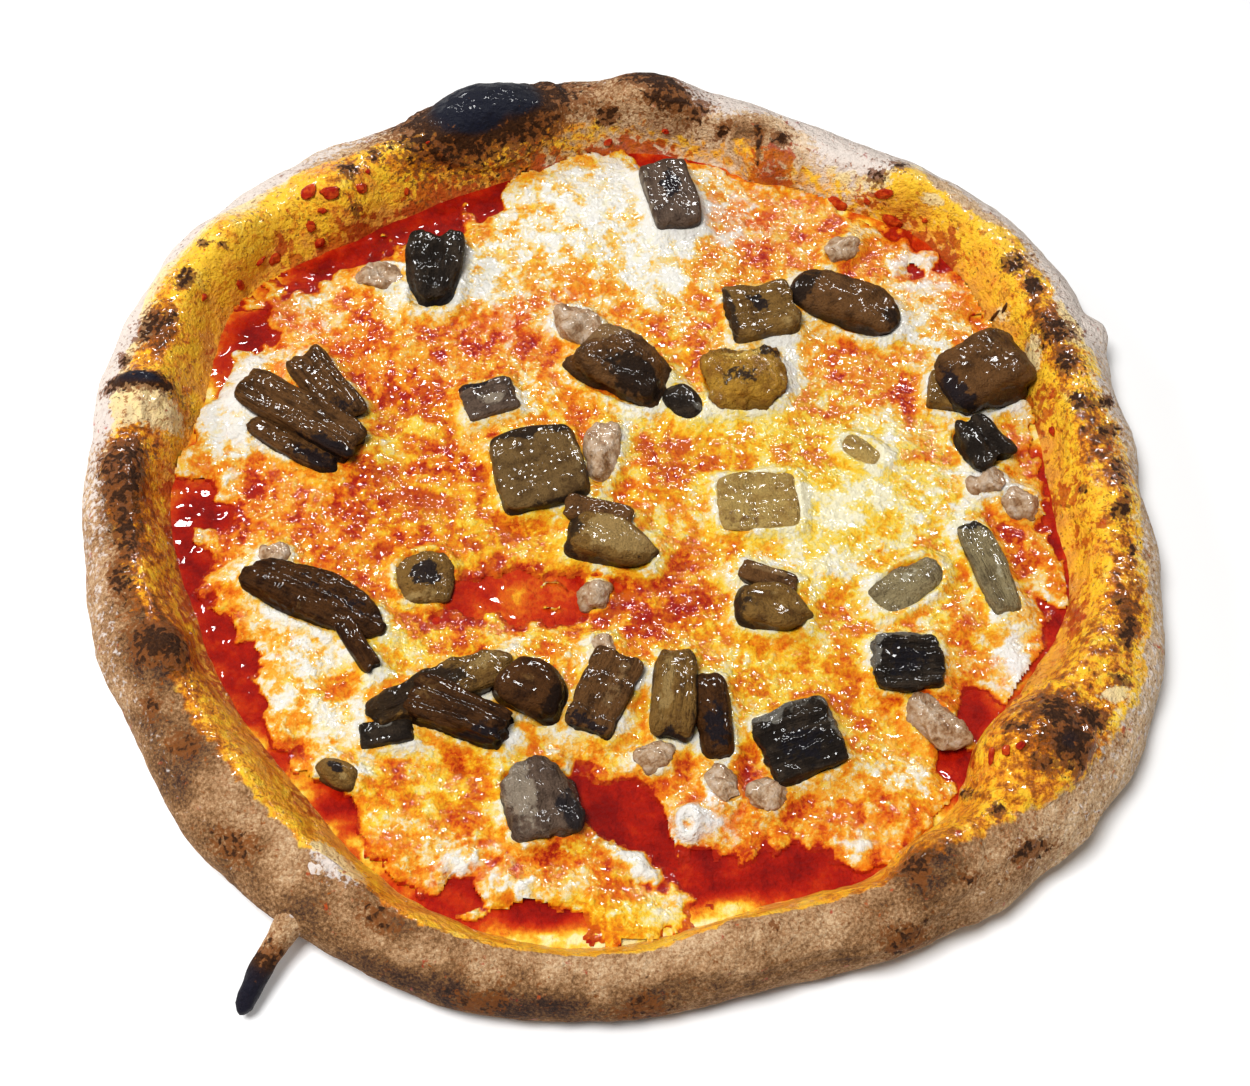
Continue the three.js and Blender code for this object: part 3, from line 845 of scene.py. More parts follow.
class Crust:
    """The baked dough: the rim with its blisters, the base under the sauce, and the thin tail."""

    ROUND, ALONG = 1150, 76
    TABLE_STEP = 30.0
    # Every 30° from 0: how toasted the outer side and the crest are, how floury the outer side is,
    # how oily the inner slope is, how speckled with brown it is, and the share of the section where
    # the oil ends.
    OUTER_TOAST = np.array([0.24, 0.16, 0.10, 0.42, 0.30, 0.14, 0.32, 0.50, 0.62, 0.62, 0.38, 0.24])
    CREST_TOAST = np.array([0.34, 0.30, 0.14, 0.34, 0.34, 0.26, 0.46, 0.46, 0.42, 0.40, 0.46, 0.46])
    FLOUR = np.array([0.45, 0.65, 0.95, 0.40, 0.45, 0.90, 0.50, 0.30, 0.12, 0.12, 0.15, 0.40])
    OIL = np.array([1.0, 0.85, 0.55, 0.50, 0.8, 1.0, 0.95, 0.85, 0.75, 0.65, 0.75, 1.0])
    SPECK = np.array([0.62, 0.55, 0.35, 0.35, 0.40, 0.50, 0.56, 0.45, 0.25, 0.12, 0.30, 0.62])
    OIL_END = np.array([0.56, 0.50, 0.30, 0.26, 0.44, 0.54, 0.50, 0.43, 0.39, 0.37, 0.38, 0.55])
    SEAMED = ("burnt", "striped", "golden", "cream")  # blisters with a seam round them
    KNOBBED = RimMark(171, 0.37, 9, 12, 0, 1)  # the torn blister's rough inside
    SLIT = RimMark(168, 0.43, 2.2, 7, 0, 1)  # the burnt slit above it
    # Folds low on the outer side: the angle they start from, their share and how much that drops.
    FOLDS = ((300, 0.60, 0.05), (312, 0.70, -0.07), (286, 0.55, 0.04))
    MARKS = {
        Tint.CHAR: rim_marks("""
            108 0.46 27 13 0 1.6
            105 0.34 15 7 0 1.2
            128 0.36 3.9 2.5 -55 1.05
            124 0.43 2.7 1.9 -40 0.95
            130 0.21 2.4 1.4 3 0.75
            153 0.41 4 2.4 9 1.05
            148 0.42 1.8 1.4 -48 0.9
            147 0.34 1.1 1.1 -9 0.85
            158 0.41 2.3 2.0 2 0.95
            160 0.49 6.6 3 20 0.95
            165 0.54 3.4 2.1 -44 0.9
            168 0.43 8.5 3.2 78 1.4
            178 0.42 8 5 53 0.95
            182 0.40 8.5 5.5 15 0.95
            188 0.43 10 3.4 5 0.95
            194 0.46 8.5 3.0 5 0.85
            204 0.41 8.3 4.6 -19 1.15
            210 0.53 3.9 2.4 7 0.7
            326 0.36 6.4 3.6 -24 1.15
            322 0.28 3.2 1.8 84 1.0
            324 0.46 6.0 2.8 -5 1.3
            328 0.47 3.6 2.2 8 1.2
            320 0.44 2.1 1.0 22 0.9
            320 0.40 1.4 0.9 21 0.85
            302 0.38 4.5 3.0 -89 1.0
            314 0.18 4.2 1.6 -75 0.85
            313 0.42 2.3 1.6 -3 0.8
            340 0.47 6.0 2.2 -5 1
            334 0.48 2.4 1.5 29 0.75
            86 0.47 11.6 4.4 6 1.15
            84 0.38 8.8 3.7 -14 1.05
            80 0.38 6.7 4.3 -68 0.8
            92 0.27 4.1 2.8 7 0.95
            95 0.38 5.6 1.9 40 0.7
            71 0.29 5.1 1.6 72 1
            76 0.29 4.6 1.8 -55 0.85
            68 0.33 4.4 3.2 -56 0.95
            54 0.32 3.4 2.5 24 0.8
            52 0.45 5 3.2 76 0.7
            32 0.38 5.3 3.7 -70 1
            28 0.42 3.7 2.5 10 1.1
            21 0.39 7.1 4.8 -58 1
            16 0.41 4.9 3.5 -18 1.05
            10 0.40 4.5 4.0 69 0.85
            10 0.55 4.1 1.8 64 0.85
            6 0.50 4.3 2.6 64 0.72
            6 0.38 1.9 1.4 -89 0.8
            0 0.49 5.7 2.4 24 0.8
            355 0.48 4.0 2.3 19 0.95
            358 0.29 2.2 1.4 -28 0.8
            350 0.50 2.7 1.6 39 0.95
            343 0.42 2.4 1.8 34 0.85
            313 0.61 5.8 2.4 9 0.8
            306 0.51 3.3 1.9 26 0.64
            298 0.63 5.9 4.8 9 0.72
            286 0.43 1.9 1.3 4 0.72
            216 0.49 4.8 2.8 -18 0.72
            228 0.57 6.6 4.3 -27 0.70
            245 0.44 5.2 3.1 -23 0.66
            257 0.64 6.6 4.6 -27 0.70
            272 0.68 8.6 4.8 21 0.68
        """),
        Tint.TOAST: rim_marks("""
            108 0.30 26 4 0 0.5
            86 0.40 22 10 0 0.12
            72 0.29 8 8 0 0.42
            22 0.40 20 6 0 0.32
            4 0.46 16 6 0 0.3
            345 0.46 16 5 0 0.3
            325 0.40 12 9 0 0.32
            303 0.40 8 7 0 0.42
            204 0.42 14 8 0 0.35
            182 0.40 22 7 0 0.42
            161 0.45 12 6 0 0.4
            129 0.36 8 6 0 0.25
            216 0.52 14 8 0 0.25
            257 0.66 40 5 0 0.22
            298 0.64 40 6 0 0.22
            246 0.42 12 4 0 0.3
        """),
        Tint.FLOUR: rim_marks("""
            171 0.38 6.5 12 0 1.1
            140 0.59 7.9 4.8 -56 0.9
            58 0.40 16 11 22 0.95
            46 0.30 4.2 2.6 -36 0.8
            332 0.47 2.8 1.6 32 0.9
            23 0.60 12 4.6 48 1
            20 0.22 7 4 8 0.75
            28 0.17 4.3 2.9 -12 0.6
            238 0.33 9 6 0 1.0
            77 0.46 12 9 0 0.5
            328 0.40 8 3 0 0.3
        """),
        Tint.OIL: rim_marks("""
            322 0.32 20 10 0 0.6
            133 0.30 16 8 0 0.3
            51 0.42 5 10 0 0.8
            305 0.22 9 6 0 0.5
            268 0.28 60 2.5 0 0.6
            230 0.22 20 7 0 0.4
        """),
        Tint.TOMATO: rim_marks("""
            140 0.18 3.6 4.1 -5 0.95
            132 0.13 16 5.4 0 0.8
            118 0.13 16 6.8 0 0.95
            104 0.12 16 5.4 0 0.9
            90 0.11 16 4.7 0 0.95
            68 0.19 8 6.8 -21 0.95
            54 0.19 7 5.4 0 0.6
            48 0.17 4.5 3.9 -22 0.85
            42 0.14 10.7 5.9 -24 0.95
            13 0.17 8 6.8 0 0.75
            359 0.18 6.6 5.3 -50 0.95
            352 0.21 5.0 2.5 -11 0.9
            353 0.35 3.8 2.7 -29 0.85
            342 0.18 9.6 4.2 -18 0.95
            318 0.16 4.5 2.2 -12 0.9
            326 0.11 8 4.1 0 0.8
            200 0.13 30 5.4 0 0.7
            215 0.11 20 4.1 0 0.6
            183 0.11 20 5.4 0 0.65
            228 0.12 10 4.1 0 0.6
        """),
    }
    TAIL_SIDES, TAIL_STEPS = 28, 90
    DRY_FLOUR, OILY_FLOUR = (0.80, 0.72, 0.67), (0.90, 0.74, 0.40)
    DEEP_TOMATO, OILY_TOMATO = (0.40, 0.018, 0.004), (0.62, 0.11, 0.01)
    TOASTED_SPECK, SCORCHED = (0.34, 0.085, 0.008), (0.20, 0.062, 0.014)
    CHARRED, CHARRED_BROWN, BURNT_BLUE = (0.030, 0.012, 0.006), (0.12, 0.045, 0.014), (0.009, 0.010, 0.019)

    def __init__(self, effects: Effects) -> None:
        """Takes the shared shader effects."""
        self.effects = effects
        self.noise = Noise(11)

    def _skin_relief(self, angle: np.ndarray, share: np.ndarray, points: np.ndarray) -> np.ndarray:
        """Millimetres that the fine relief stands out: clouds of three sizes, knobs in the torn
        blister, cracked lumps where the dough is burnt, and the folds low on the right.

        Args:
            angle: degrees.
            share: how far round the section.
            points: the smooth skin.

        Returns:
            Heights.
        """
        coarse = 0.9 * self.noise.clouds(points, 14, 3)
        fine = 0.28 * self.noise.clouds(points + 90, 3.2, 3)
        torn = self.KNOBBED.weight(angle, share) ** 2
        knobs = torn * (1.6 - 2.6 * self.noise.pebbles(points, 4.5))
        slit = self.SLIT.weight(angle, share)
        burnt = self._paint(Tint.CHAR, angle, share)
        crackle = 0.7 * np.clip(burnt, 0, 1) * (0.6 - self.noise.pebbles(points + 40, 3.4))
        folds = np.zeros_like(angle)
        for start, level, drop in self.FOLDS:
            reach = smooth(26, 4, np.abs(angle_from(angle, start)))
            line = level + drop * np.sin(np.radians(angle) * 9) + 0.02 * self.noise.value(points, 9)
            folds += reach * np.exp(-(((share - line) * SECTION_LENGTH / 1.3) ** 2))
        radius, seams = np.hypot(points[:, 0], points[:, 1]), 0.0
        for blister in (BLISTERS[name] for name in self.SEAMED):
            along = np.radians(angle_from(angle, blister.angle)) * blister.radius / blister.along
            across = np.hypot(radius - blister.radius, points[:, 2] - blister.z) / blister.across
            seams = seams + np.exp(-(((np.hypot(along, across) - 0.86) / 0.06) ** 2))
        above = smooth(0, 3, points[:, 2]) * smooth(0.01, 0.08, share)
        return above * (coarse + fine + knobs - 2.0 * slit + crackle - 0.9 * folds - 1.1 * seams)

    def _paint(self, tint: Tint, angle: np.ndarray, share: np.ndarray) -> np.ndarray:
        """The strongest mark of a tint at each place."""
        total = np.zeros_like(angle)
        for mark in self.MARKS[tint]:
            total = np.maximum(total, mark.strength * mark.weight(angle, share))
        return total

    def _tints(self, angle: np.ndarray, share: np.ndarray, points: np.ndarray) -> dict[str, np.ndarray]:
        """How strong each tint is at each place, from the tables round the rim and the marks.

        Args:
            angle: degrees.
            share: how far round the section.
            points: the skin.

        Returns:
            Values by name.
        """
        wander = self.noise.clouds(points + 300, 11, 3)
        place = share + 0.05 * wander

        def table(values: np.ndarray) -> np.ndarray:
            """A table round the rim, read at each place with a little wander."""
            return read_round(values, angle + 6 * wander, self.TABLE_STEP)

        outer = smooth(0.42, 0.62, place)
        toast = table(self.CREST_TOAST) * (1 - outer) + table(self.OUTER_TOAST) * outer
        end = table(self.OIL_END)
        oil = table(self.OIL) * smooth(0.06, -0.05, place - end) * smooth(-0.02, 0.06, place)
        slope = smooth(0.02, 0.30, share)
        paint = {tint: self._paint(tint, angle, place) for tint in Tint}
        return {
            "toast": np.maximum(toast * (0.35 + 0.65 * slope), 0) + paint[Tint.TOAST] + 0.08 * wander,
            "char": paint[Tint.CHAR] + 0.10 * wander,
            "oil": np.clip(oil + paint[Tint.OIL], 0, 1.2),
            "flour": np.clip(table(self.FLOUR) * smooth(0.40, 0.56, place) + paint[Tint.FLOUR], 0, 1),
            "tomato": paint[Tint.TOMATO] + 0.12 * wander + 0.55 * smooth(0.17, 0.05, place),
            "speck": table(self.SPECK) * smooth(0.04, 0.20, place) * smooth(0.60, 0.50, place),
            # Rises from the foot to the crest: the material turns the inner slope from deeper orange low down
            # to oil-fried yellow up high, the darker foot partly painted shade.
            "crest": smooth(0.04, 0.34, place),
        }

    def _rim(self) -> Shape:
        """The rim as a grid over angle and share, closed by two fans to the middle of the base.

        Returns:
            The shape.
        """
        angle, share = np.meshgrid(
            np.arange(self.ROUND) * 360 / self.ROUND, np.linspace(0, 1, self.ALONG) ** 0.94, indexing="ij"
        )
        angle, share = angle.ravel(), share.ravel()
        faces = [grid_faces(self.ROUND, self.ALONG, closed=True)]
        shape = Shape(Rim.points(angle, share), faces)
        shape.points = shape.points + shape.normals() * self._skin_relief(angle, share, shape.points)[:, None]
        shape.points[:, 2] = np.maximum(shape.points[:, 2], 0)
        shape.values = self._tints(angle, share, shape.points)
        first = np.arange(self.ROUND) * self.ALONG
        after = np.roll(first, -1)
        top, bottom = len(shape.points), len(shape.points) + 1
        last = self.ALONG - 1
        shape.faces.append(np.stack([after, first, np.full(self.ROUND, top)], -1))
        shape.faces.append(np.stack([first + last, after + last, np.full(self.ROUND, bottom)], -1))
        shape.points = np.concatenate([shape.points, [[0, 0, BASE], [0, 0, 0]]])
        shape.values = {key: np.append(value, [0, 0]) for key, value in shape.values.items()}
        return shape

    def _tail(self) -> Shape:
        """The tail: rings of the named radii along a Catmull-Rom line, closed at both ends.

        Returns:
            The shape.
        """
        knots = np.linspace(0, len(TAIL_LINE) - 1, self.TAIL_STEPS)
        line = self._line(knots)
        length = np.concatenate([[0], np.cumsum(np.linalg.norm(np.diff(line, axis=0), axis=1))])
        even = np.linspace(0, length[-1], self.TAIL_STEPS)
        line = self._line(np.interp(even, length, knots))
        share = even / length[-1]
        ahead = np.gradient(line, axis=0)
        ahead /= np.linalg.norm(ahead, axis=1, keepdims=True)
        side = np.cross([0, 0, 1], ahead)
        side /= np.linalg.norm(side, axis=1, keepdims=True)
        up = np.cross(ahead, side)
        radius = np.interp(share * (len(TAIL_RADII) - 1), np.arange(len(TAIL_RADII)), TAIL_RADII)
        radius = radius * np.sqrt(np.clip((1 - share) * 18, 0, 1)) * np.sqrt(np.clip(share * 30, 0, 1))
        turn = np.arange(self.TAIL_SIDES) * 2 * np.pi / self.TAIL_SIDES
        ring = np.cos(turn)[:, None, None] * side[None] + np.sin(turn)[:, None, None] * up[None]
        rough = self.noise.clouds((line[None] + ring * 3).reshape(-1, 3), 5, 3).reshape(self.TAIL_SIDES, -1)
        points = (line[None] + ring * (radius[None] * (1 + 0.12 * rough))[..., None]).reshape(-1, 3)
        points[:, 2] = np.maximum(points[:, 2], 0)
        shape = Shape(points, [grid_faces(self.TAIL_SIDES, self.TAIL_STEPS, closed=True)])
        burnt = smooth(0.45, 0.85, share + 0.06 * self.noise.value(line, 4))
        values = {"toast": 0.28 + 0.40 * share, "char": burnt * 1.45, "oil": 0 * share, "tomato": 0 * share}
        values["flour"] = 0.6 * smooth(0.55, 0.3, share)
        values["speck"] = values["crest"] = 0 * share
        shape.values = {key: np.tile(value, self.TAIL_SIDES) for key, value in values.items()}
        return shape

    @staticmethod
    def _line(knots: np.ndarray) -> np.ndarray:
        """Points of the tail's line at knot numbers, as a Catmull-Rom curve with its ends mirrored.

        Args:
            knots: the tail's points.

        Returns:
            Points along it.
        """
        first, last = 2 * TAIL_LINE[0] - TAIL_LINE[1], 2 * TAIL_LINE[-1] - TAIL_LINE[-2]
        line = np.vstack([first, TAIL_LINE, last])
        k = np.minimum(knots.astype(int), len(TAIL_LINE) - 2)
        t = (knots - k)[:, None]
        a, b, c, d = (line[k + i] for i in range(4))
        return b + 0.5 * t * (c - a + t * (2 * a - 5 * b + 4 * c - d + t * (3 * (b - c) + d - a)))

    def material(self) -> Material:
        """Dough that runs from pale to toasted, with flour, yellow oil, tomato and char over it.

        Returns:
            The material.
        """
        made = Material("baked crust", Gloss(0.8, coat_roughness=0.06, mirror=0.12))
        g, place = made.graph, made.graph.place()
        fine = g.noise(place, 0.9, detail=4, rough=0.7)
        broad = g.noise(place, 8.0, detail=5, rough=0.6)
        toast = g.add(g.value("toast"), g.times(fine, 0.27), g.times(broad, 0.17))
        dough = g.ramp(toast, [
            (0.00, (0.82, 0.64, 0.46)), (0.25, (0.66, 0.45, 0.26)), (0.45, (0.43, 0.24, 0.115)),
            (0.65, (0.21, 0.10, 0.038)), (0.85, (0.075, 0.036, 0.022)), (1.0, (0.03, 0.018, 0.014)),
        ])
        # Deeper orange at the foot of the slope, brighter yellow towards the crest: partly painted shade low on
        # the slope.
        hue = g.add(g.times(g.value("crest"), 0.5), g.times(broad, 0.42), g.times(fine, 0.06))
        yellow = g.ramp(hue, [
            (0.02, (0.80, 0.33, 0.030)), (0.22, (0.94, 0.44, 0.020)), (0.42, (1.0, 0.56, 0.018)),
            (0.62, (1.0, 0.60, 0.025)), (0.82, (1.0, 0.72, 0.12)), (1.00, (0.98, 0.84, 0.46)),
        ])
        dapple = g.noise(place, 3.4, detail=4, rough=0.65)
        specks = g.times(g.value("speck"), g.times(dapple, 0.8))
        baked = g.ramp(g.add(g.value("toast"), specks, g.times(fine, 0.10)), [
            (0.34, (1.0, 1.0, 1.0)), (0.48, (0.90, 0.62, 0.40)),
            (0.64, (0.44, 0.19, 0.10)), (0.85, (0.09, 0.045, 0.04)),
        ])

        def ragged(mask: Socket, size: float, raggedness: float) -> bpy.types.NodeSocket:
            """A mask with its edge broken up."""
            return g.use(self.effects.ragged, mask=mask, place=place, size=size, raggedness=raggedness)

        oil = ragged(g.value("oil"), 3.0, 0.25)
        dough = g.mix(g.times(oil, 0.95), dough, g.mix(1.0, yellow, baked, "MULTIPLY"))
        powder = ragged(g.value("flour"), 1.6, 0.3)
        dough = g.mix(g.times(powder, 0.8), dough, g.mix(oil, self.DRY_FLOUR, self.OILY_FLOUR))
        flecks = g.use(self.effects.flecks, place=place, size=1.8, cover=g.times(g.value("speck"), 0.45))
        lines = g.times(g.use(self.effects.lines, place=place, size=5.0), g.value("speck"))
        dough = g.mix(g.math("MAXIMUM", g.times(flecks, 0.8), lines), dough, self.TOASTED_SPECK)
        red = ragged(g.times(g.value("tomato"), 0.72), 3.0, 0.6)
        stain = g.mix(g.step(broad, -0.2, 0.8), self.DEEP_TOMATO, self.OILY_TOMATO)
        dough = g.mix(g.times(red, 0.8), dough, stain)
        char = g.value("char")
        scorch = ragged(g.add(g.times(char, 0.75), 0.2), 1.3, 0.45)
        dough = g.mix(g.times(scorch, 0.85), dough, self.SCORCHED)
        core = ragged(g.times(char, 0.63), 2.0, 0.5)
        burnt = g.step(char, 1.2, 1.5)
        soot = g.mix(g.step(g.times(fine, 0.3), -0.2, 0.6), self.CHARRED, self.CHARRED_BROWN)
        soot = g.mix(burnt, soot, self.BURNT_BLUE)
        made.color(g.mix(core, dough, soot))
        bare = g.math("SUBTRACT", g.math("MAXIMUM", oil, red), core, clamp=True)
        wet = g.math("MAXIMUM", bare, g.times(burnt, 0.3))
        made.shine("Roughness", g.math("SUBTRACT", 0.8, g.times(wet, 0.38)))
        made.shine("Coat Weight", g.times(wet, 0.4))
        made.relief(g.use(self.effects.grain, place=place, coarse=2.4, fine=0.8), 0.35)
        made.wet(place, 2.4, 0.2)
        return made

    def build(self) -> bpy.types.Object:
        """Builds, places and dresses the crust.

        Returns:
            The object.
        """
        made = joined([self._rim(), self._tail()]).object("crust_looks")
        self.material().dress(made)
        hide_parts("crust")
        return made


@dataclass(frozen=True)
class Scrap:
    """A small scrap on the rim: its place as angle and share, its length, width and turn."""

    angle: float
    share: float
    length: float
    width: float
    turn: float


def scraps(rows: str) -> list[Scrap]:
    """Scraps from a text with the five numbers of each on a line."""
    return [Scrap(*map(float, row.split())) for row in rows.strip().splitlines()]


class Scraps:
    """Flecks of tomato and dark slivers that stick to the rim."""

    STEPS, THICK, SINK = (14, 12, 5), 1.5, 0.35
    TOMATO = scraps("""
        134 0.36 5.8 3.9 20
        132 0.30 6.4 4.2 -15
        128 0.27 3.6 3.4 0
        136 0.23 3.6 3.4 40
        136 0.16 3.6 3.0 0
        142 0.17 4.2 3.6 30
        148 0.18 2.4 4.2 0
        144 0.20 4.2 1.5 10
        126 0.33 1.6 1.5 0
        134 0.26 3.0 1.8 -30
        153 0.26 2.4 1.8 0
        117 0.36 1.8 1.5 0
        122 0.20 2.6 1.6 60
        58 0.12 7.4 5.2 -10
        52 0.24 6.4 3.4 25
        50 0.13 7.2 4.4 -20
        54 0.19 2.4 2.2 0
        46 0.20 2.2 1.6 50
        9 0.19 3.0 2.4 0
        319 0.29 3.0 2.4 15
        320 0.33 2.7 2.1 -40
        318 0.25 5.4 1.8 10
        84 0.22 2.6 1.8 0
        92 0.16 3.2 2.0 20
    """)
    DARK = scraps("""
        29.6 0.09 4.6 1.3 70
        29.0 0.16 5.0 1.1 88
        28.4 0.22 4.0 1.2 104
        229 0.07 2.0 1.2 30
    """)

    def __init__(self, effects: Effects) -> None:
        """Takes the shared shader effects."""
        self.effects = effects
        self.noise = Noise(71)

    def _scrap(self, scrap: Scrap) -> Shape:
        """A flat uneven crumb that lies on the skin of the rim.

        Args:
            scrap: its size and place.

        Returns:
            Points and faces.
        """
        at, angle_step, share_step = np.array([scrap.angle, scrap.share]), 0.4, 0.01
        angle, share = np.array([at + (0, 0), at + (angle_step, 0), at + (0, share_step)]).T
        middle, beside, above = Rim.points(angle, share)
        along, up = beside - middle, above - middle
        along, up = along / np.linalg.norm(along), up / np.linalg.norm(up)
        out = np.cross(up, along)
        out *= np.sign(out[2]) / np.linalg.norm(out)
        cube = cube_shape(self.STEPS)
        ball = cube.points / np.linalg.norm(cube.points, axis=1, keepdims=True)
        uneven = 1 + 0.45 * self.noise.clouds(ball * 1.2 + 9 * scrap.angle + 50 * scrap.share, 0.9, 3)
        x, y, z = (ball * uneven[:, None] * np.array([scrap.length, scrap.width, self.THICK]) / 2).T
        x, y = spun(x, y, scrap.turn)
        across = np.cross(out, along)
        points = middle + x[:, None] * along + y[:, None] * across + (z + self.SINK)[:, None] * out
        return Shape(points, cube.faces)

    def _dressed(
        self, name: str, rows: Sequence[Scrap], gloss: Gloss, colors: tuple[Color, Color]
    ) -> bpy.types.Object:
        """One object of scraps, mottled between two colours.

        Args:
            name: the object's name.
            rows: the scraps.
            gloss: its shine.
            colors: dark and light.

        Returns:
            The object.
        """
        made = joined([self._scrap(scrap) for scrap in rows]).object(name)
        paint = Material(name.replace("_", " "), gloss)
        g, place = paint.graph, paint.graph.place()
        paint.color(g.mix(g.step(g.noise(place, 2.2, detail=3), -0.6, 0.9), *colors))
        paint.relief(g.noise(place, 1.1, detail=3), 0.2)
        paint.dress(made)
        return made

    def build(self) -> list[bpy.types.Object]:
        """Builds and dresses the flecks of tomato and the dark slivers."""
        wet = Gloss(0.5, coat=0.5, coat_roughness=0.07, mirror=0.05)
        reds, browns = ((0.34, 0.010, 0.003), (0.62, 0.075, 0.008)), ((0.05, 0.016, 0.006), (0.12, 0.04, 0.012))
        return [
            self._dressed("tomato_flecks_looks", self.TOMATO, wet, reds),
            self._dressed("dark_slivers_looks", self.DARK, Gloss(0.5), browns),
        ]


# -------- Sauce and cheese --------


def field_shape(
    height: Callable[[np.ndarray, np.ndarray], np.ndarray],
    kept: Callable[[np.ndarray, np.ndarray], np.ndarray],
    step: float,
) -> Shape:
    """A surface seen from above, on a square grid over the pizza.

    Args:
        height: gives z at x, y.
        kept: tells which grid points belong to the surface.
        step: the grid's step.

    Returns:
        The surface, without the points that no kept face uses.
    """
    count = int(2 * RIM_OUTER.max() / step)
    line = (np.arange(count) - (count - 1) / 2) * step
    x, y = (a.ravel() for a in np.meshgrid(line, line, indexing="ij"))
    faces = grid_faces(count, count, closed=False)
    faces = faces[kept(x, y)[faces].all(axis=1)]
    used, place = np.unique(faces, return_inverse=True)
    x, y = x[used], y[used]
    return Shape(np.stack([x, y, height(x, y)], -1), [place.reshape(-1, 4)])


class Sauce:
    """The layer of tomato sauce, bare in the pools."""

    STEP, OVERLAP = 1.3, 2.5
    # How bright the sauce's shore is every 30° from 0: red under 0.4, orange at 0.7, cream at 1.
    SHORE, SHORE_STEP = np.array([0.40, 0.62, 0.60, 0.30, 0.14, 0.42, 0.42, 0.36, 0.62, 0.86, 0.62, 0.34]), 30.0
    BRIGHT = patches("""
        -30 -34 40 16 0 0.32
        125 -10 10 20 0 0.14
        -124 5 8 12 0 0.06
    """)

    def __init__(self, effects: Effects) -> None:
        """Takes the shared shader effects."""
        self.effects = effects
        self.noise = Noise(23)

    def _height(self, x: np.ndarray, y: np.ndarray) -> np.ndarray:
        """The sauce's level with a little relief of its pulp."""
        flat = np.stack([x, y, np.zeros_like(x)], -1)
        return SAUCE_TOP + 0.25 * self.noise.clouds(flat, 9, 4)

    def _kept(self, x: np.ndarray, y: np.ndarray) -> np.ndarray:
        """Whether places lie inside the rim, or just under its slope."""
        angle = np.degrees(np.arctan2(y, x))
        return np.hypot(x, y) < Rim.slope_radius(angle, SAUCE_TOP) + self.OVERLAP

    def material(self) -> Material:
        """Smooth wet sauce, deep red with oily orange stretches.

        Returns:
            The material.
        """
        made = Material("tomato sauce", Gloss(0.55, coat=0.5, coat_roughness=0.05, mirror=0.04))
        g, place = made.graph, made.graph.place()
        broad = g.noise(place, 9.0, detail=4)
        fine = g.noise(place, 1.6, detail=4, rough=0.6)
        level = g.add(g.value("bright"), g.times(broad, 0.22), g.times(fine, 0.10))
        made.color(g.ramp(level, [
            (0.0, (0.20, 0.003, 0.002)), (0.22, (0.36, 0.008, 0.002)), (0.42, (0.50, 0.030, 0.003)),
            (0.60, (0.64, 0.12, 0.006)), (0.74, (0.80, 0.34, 0.015)), (0.87, (0.86, 0.60, 0.07)),
            (1.0, (0.86, 0.74, 0.36)),
        ]))
        made.relief(g.use(self.effects.grain, place=place, coarse=3.0, fine=1.0), 0.3)
        made.wet(place, 4.2, 0.24)
        return made

    def build(self) -> bpy.types.Object:
        """Builds, places and dresses the sauce.

        Returns:
            The object.
        """
        shape = field_shape(self._height, self._kept, self.STEP)
        x, y = shape.points[:, 0], shape.points[:, 1]
        foot = read_round(RIM_INNER, np.degrees(np.arctan2(y, x)))
        open_pool = np.clip(painted(x, y, POOLS) / POOL_DEPTH, 0, 1)
        shore = smooth(-7, 1, np.hypot(x, y) - foot) * (1 - open_pool)
        bright = 0.14 + painted(x, y, self.BRIGHT) * (1 - shore)
        bright += shore * read_round(self.SHORE, np.degrees(np.arctan2(y, x)), self.SHORE_STEP)
        bright += 0.34 * self.noise.clouds(shape.points, 8, 4) * (0.4 + shore)
        shape.values["bright"] = bright + 0.34 * self.noise.clouds(shape.points + 70, 3.4, 3) * shore
        made = shape.object("tomato_sauce_looks")
        self.material().dress(made)
        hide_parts("tomato_sauce")
        return made


@dataclass(frozen=True)
class Ring:
    """A round ridge in the cheese: its middle, radius, width, stretch along Y and milkiness."""

    x: float
    y: float
    radius: float
    width: float
    stretch: float
    milk: float

    def weight(self, x: np.ndarray, y: np.ndarray) -> np.ndarray:
        """1 on the ring, falling off as a bell to both sides."""
        reach = np.hypot(x - self.x, (y - self.y) / self.stretch)
        return np.exp(-(((reach - self.radius) / self.width) ** 2))


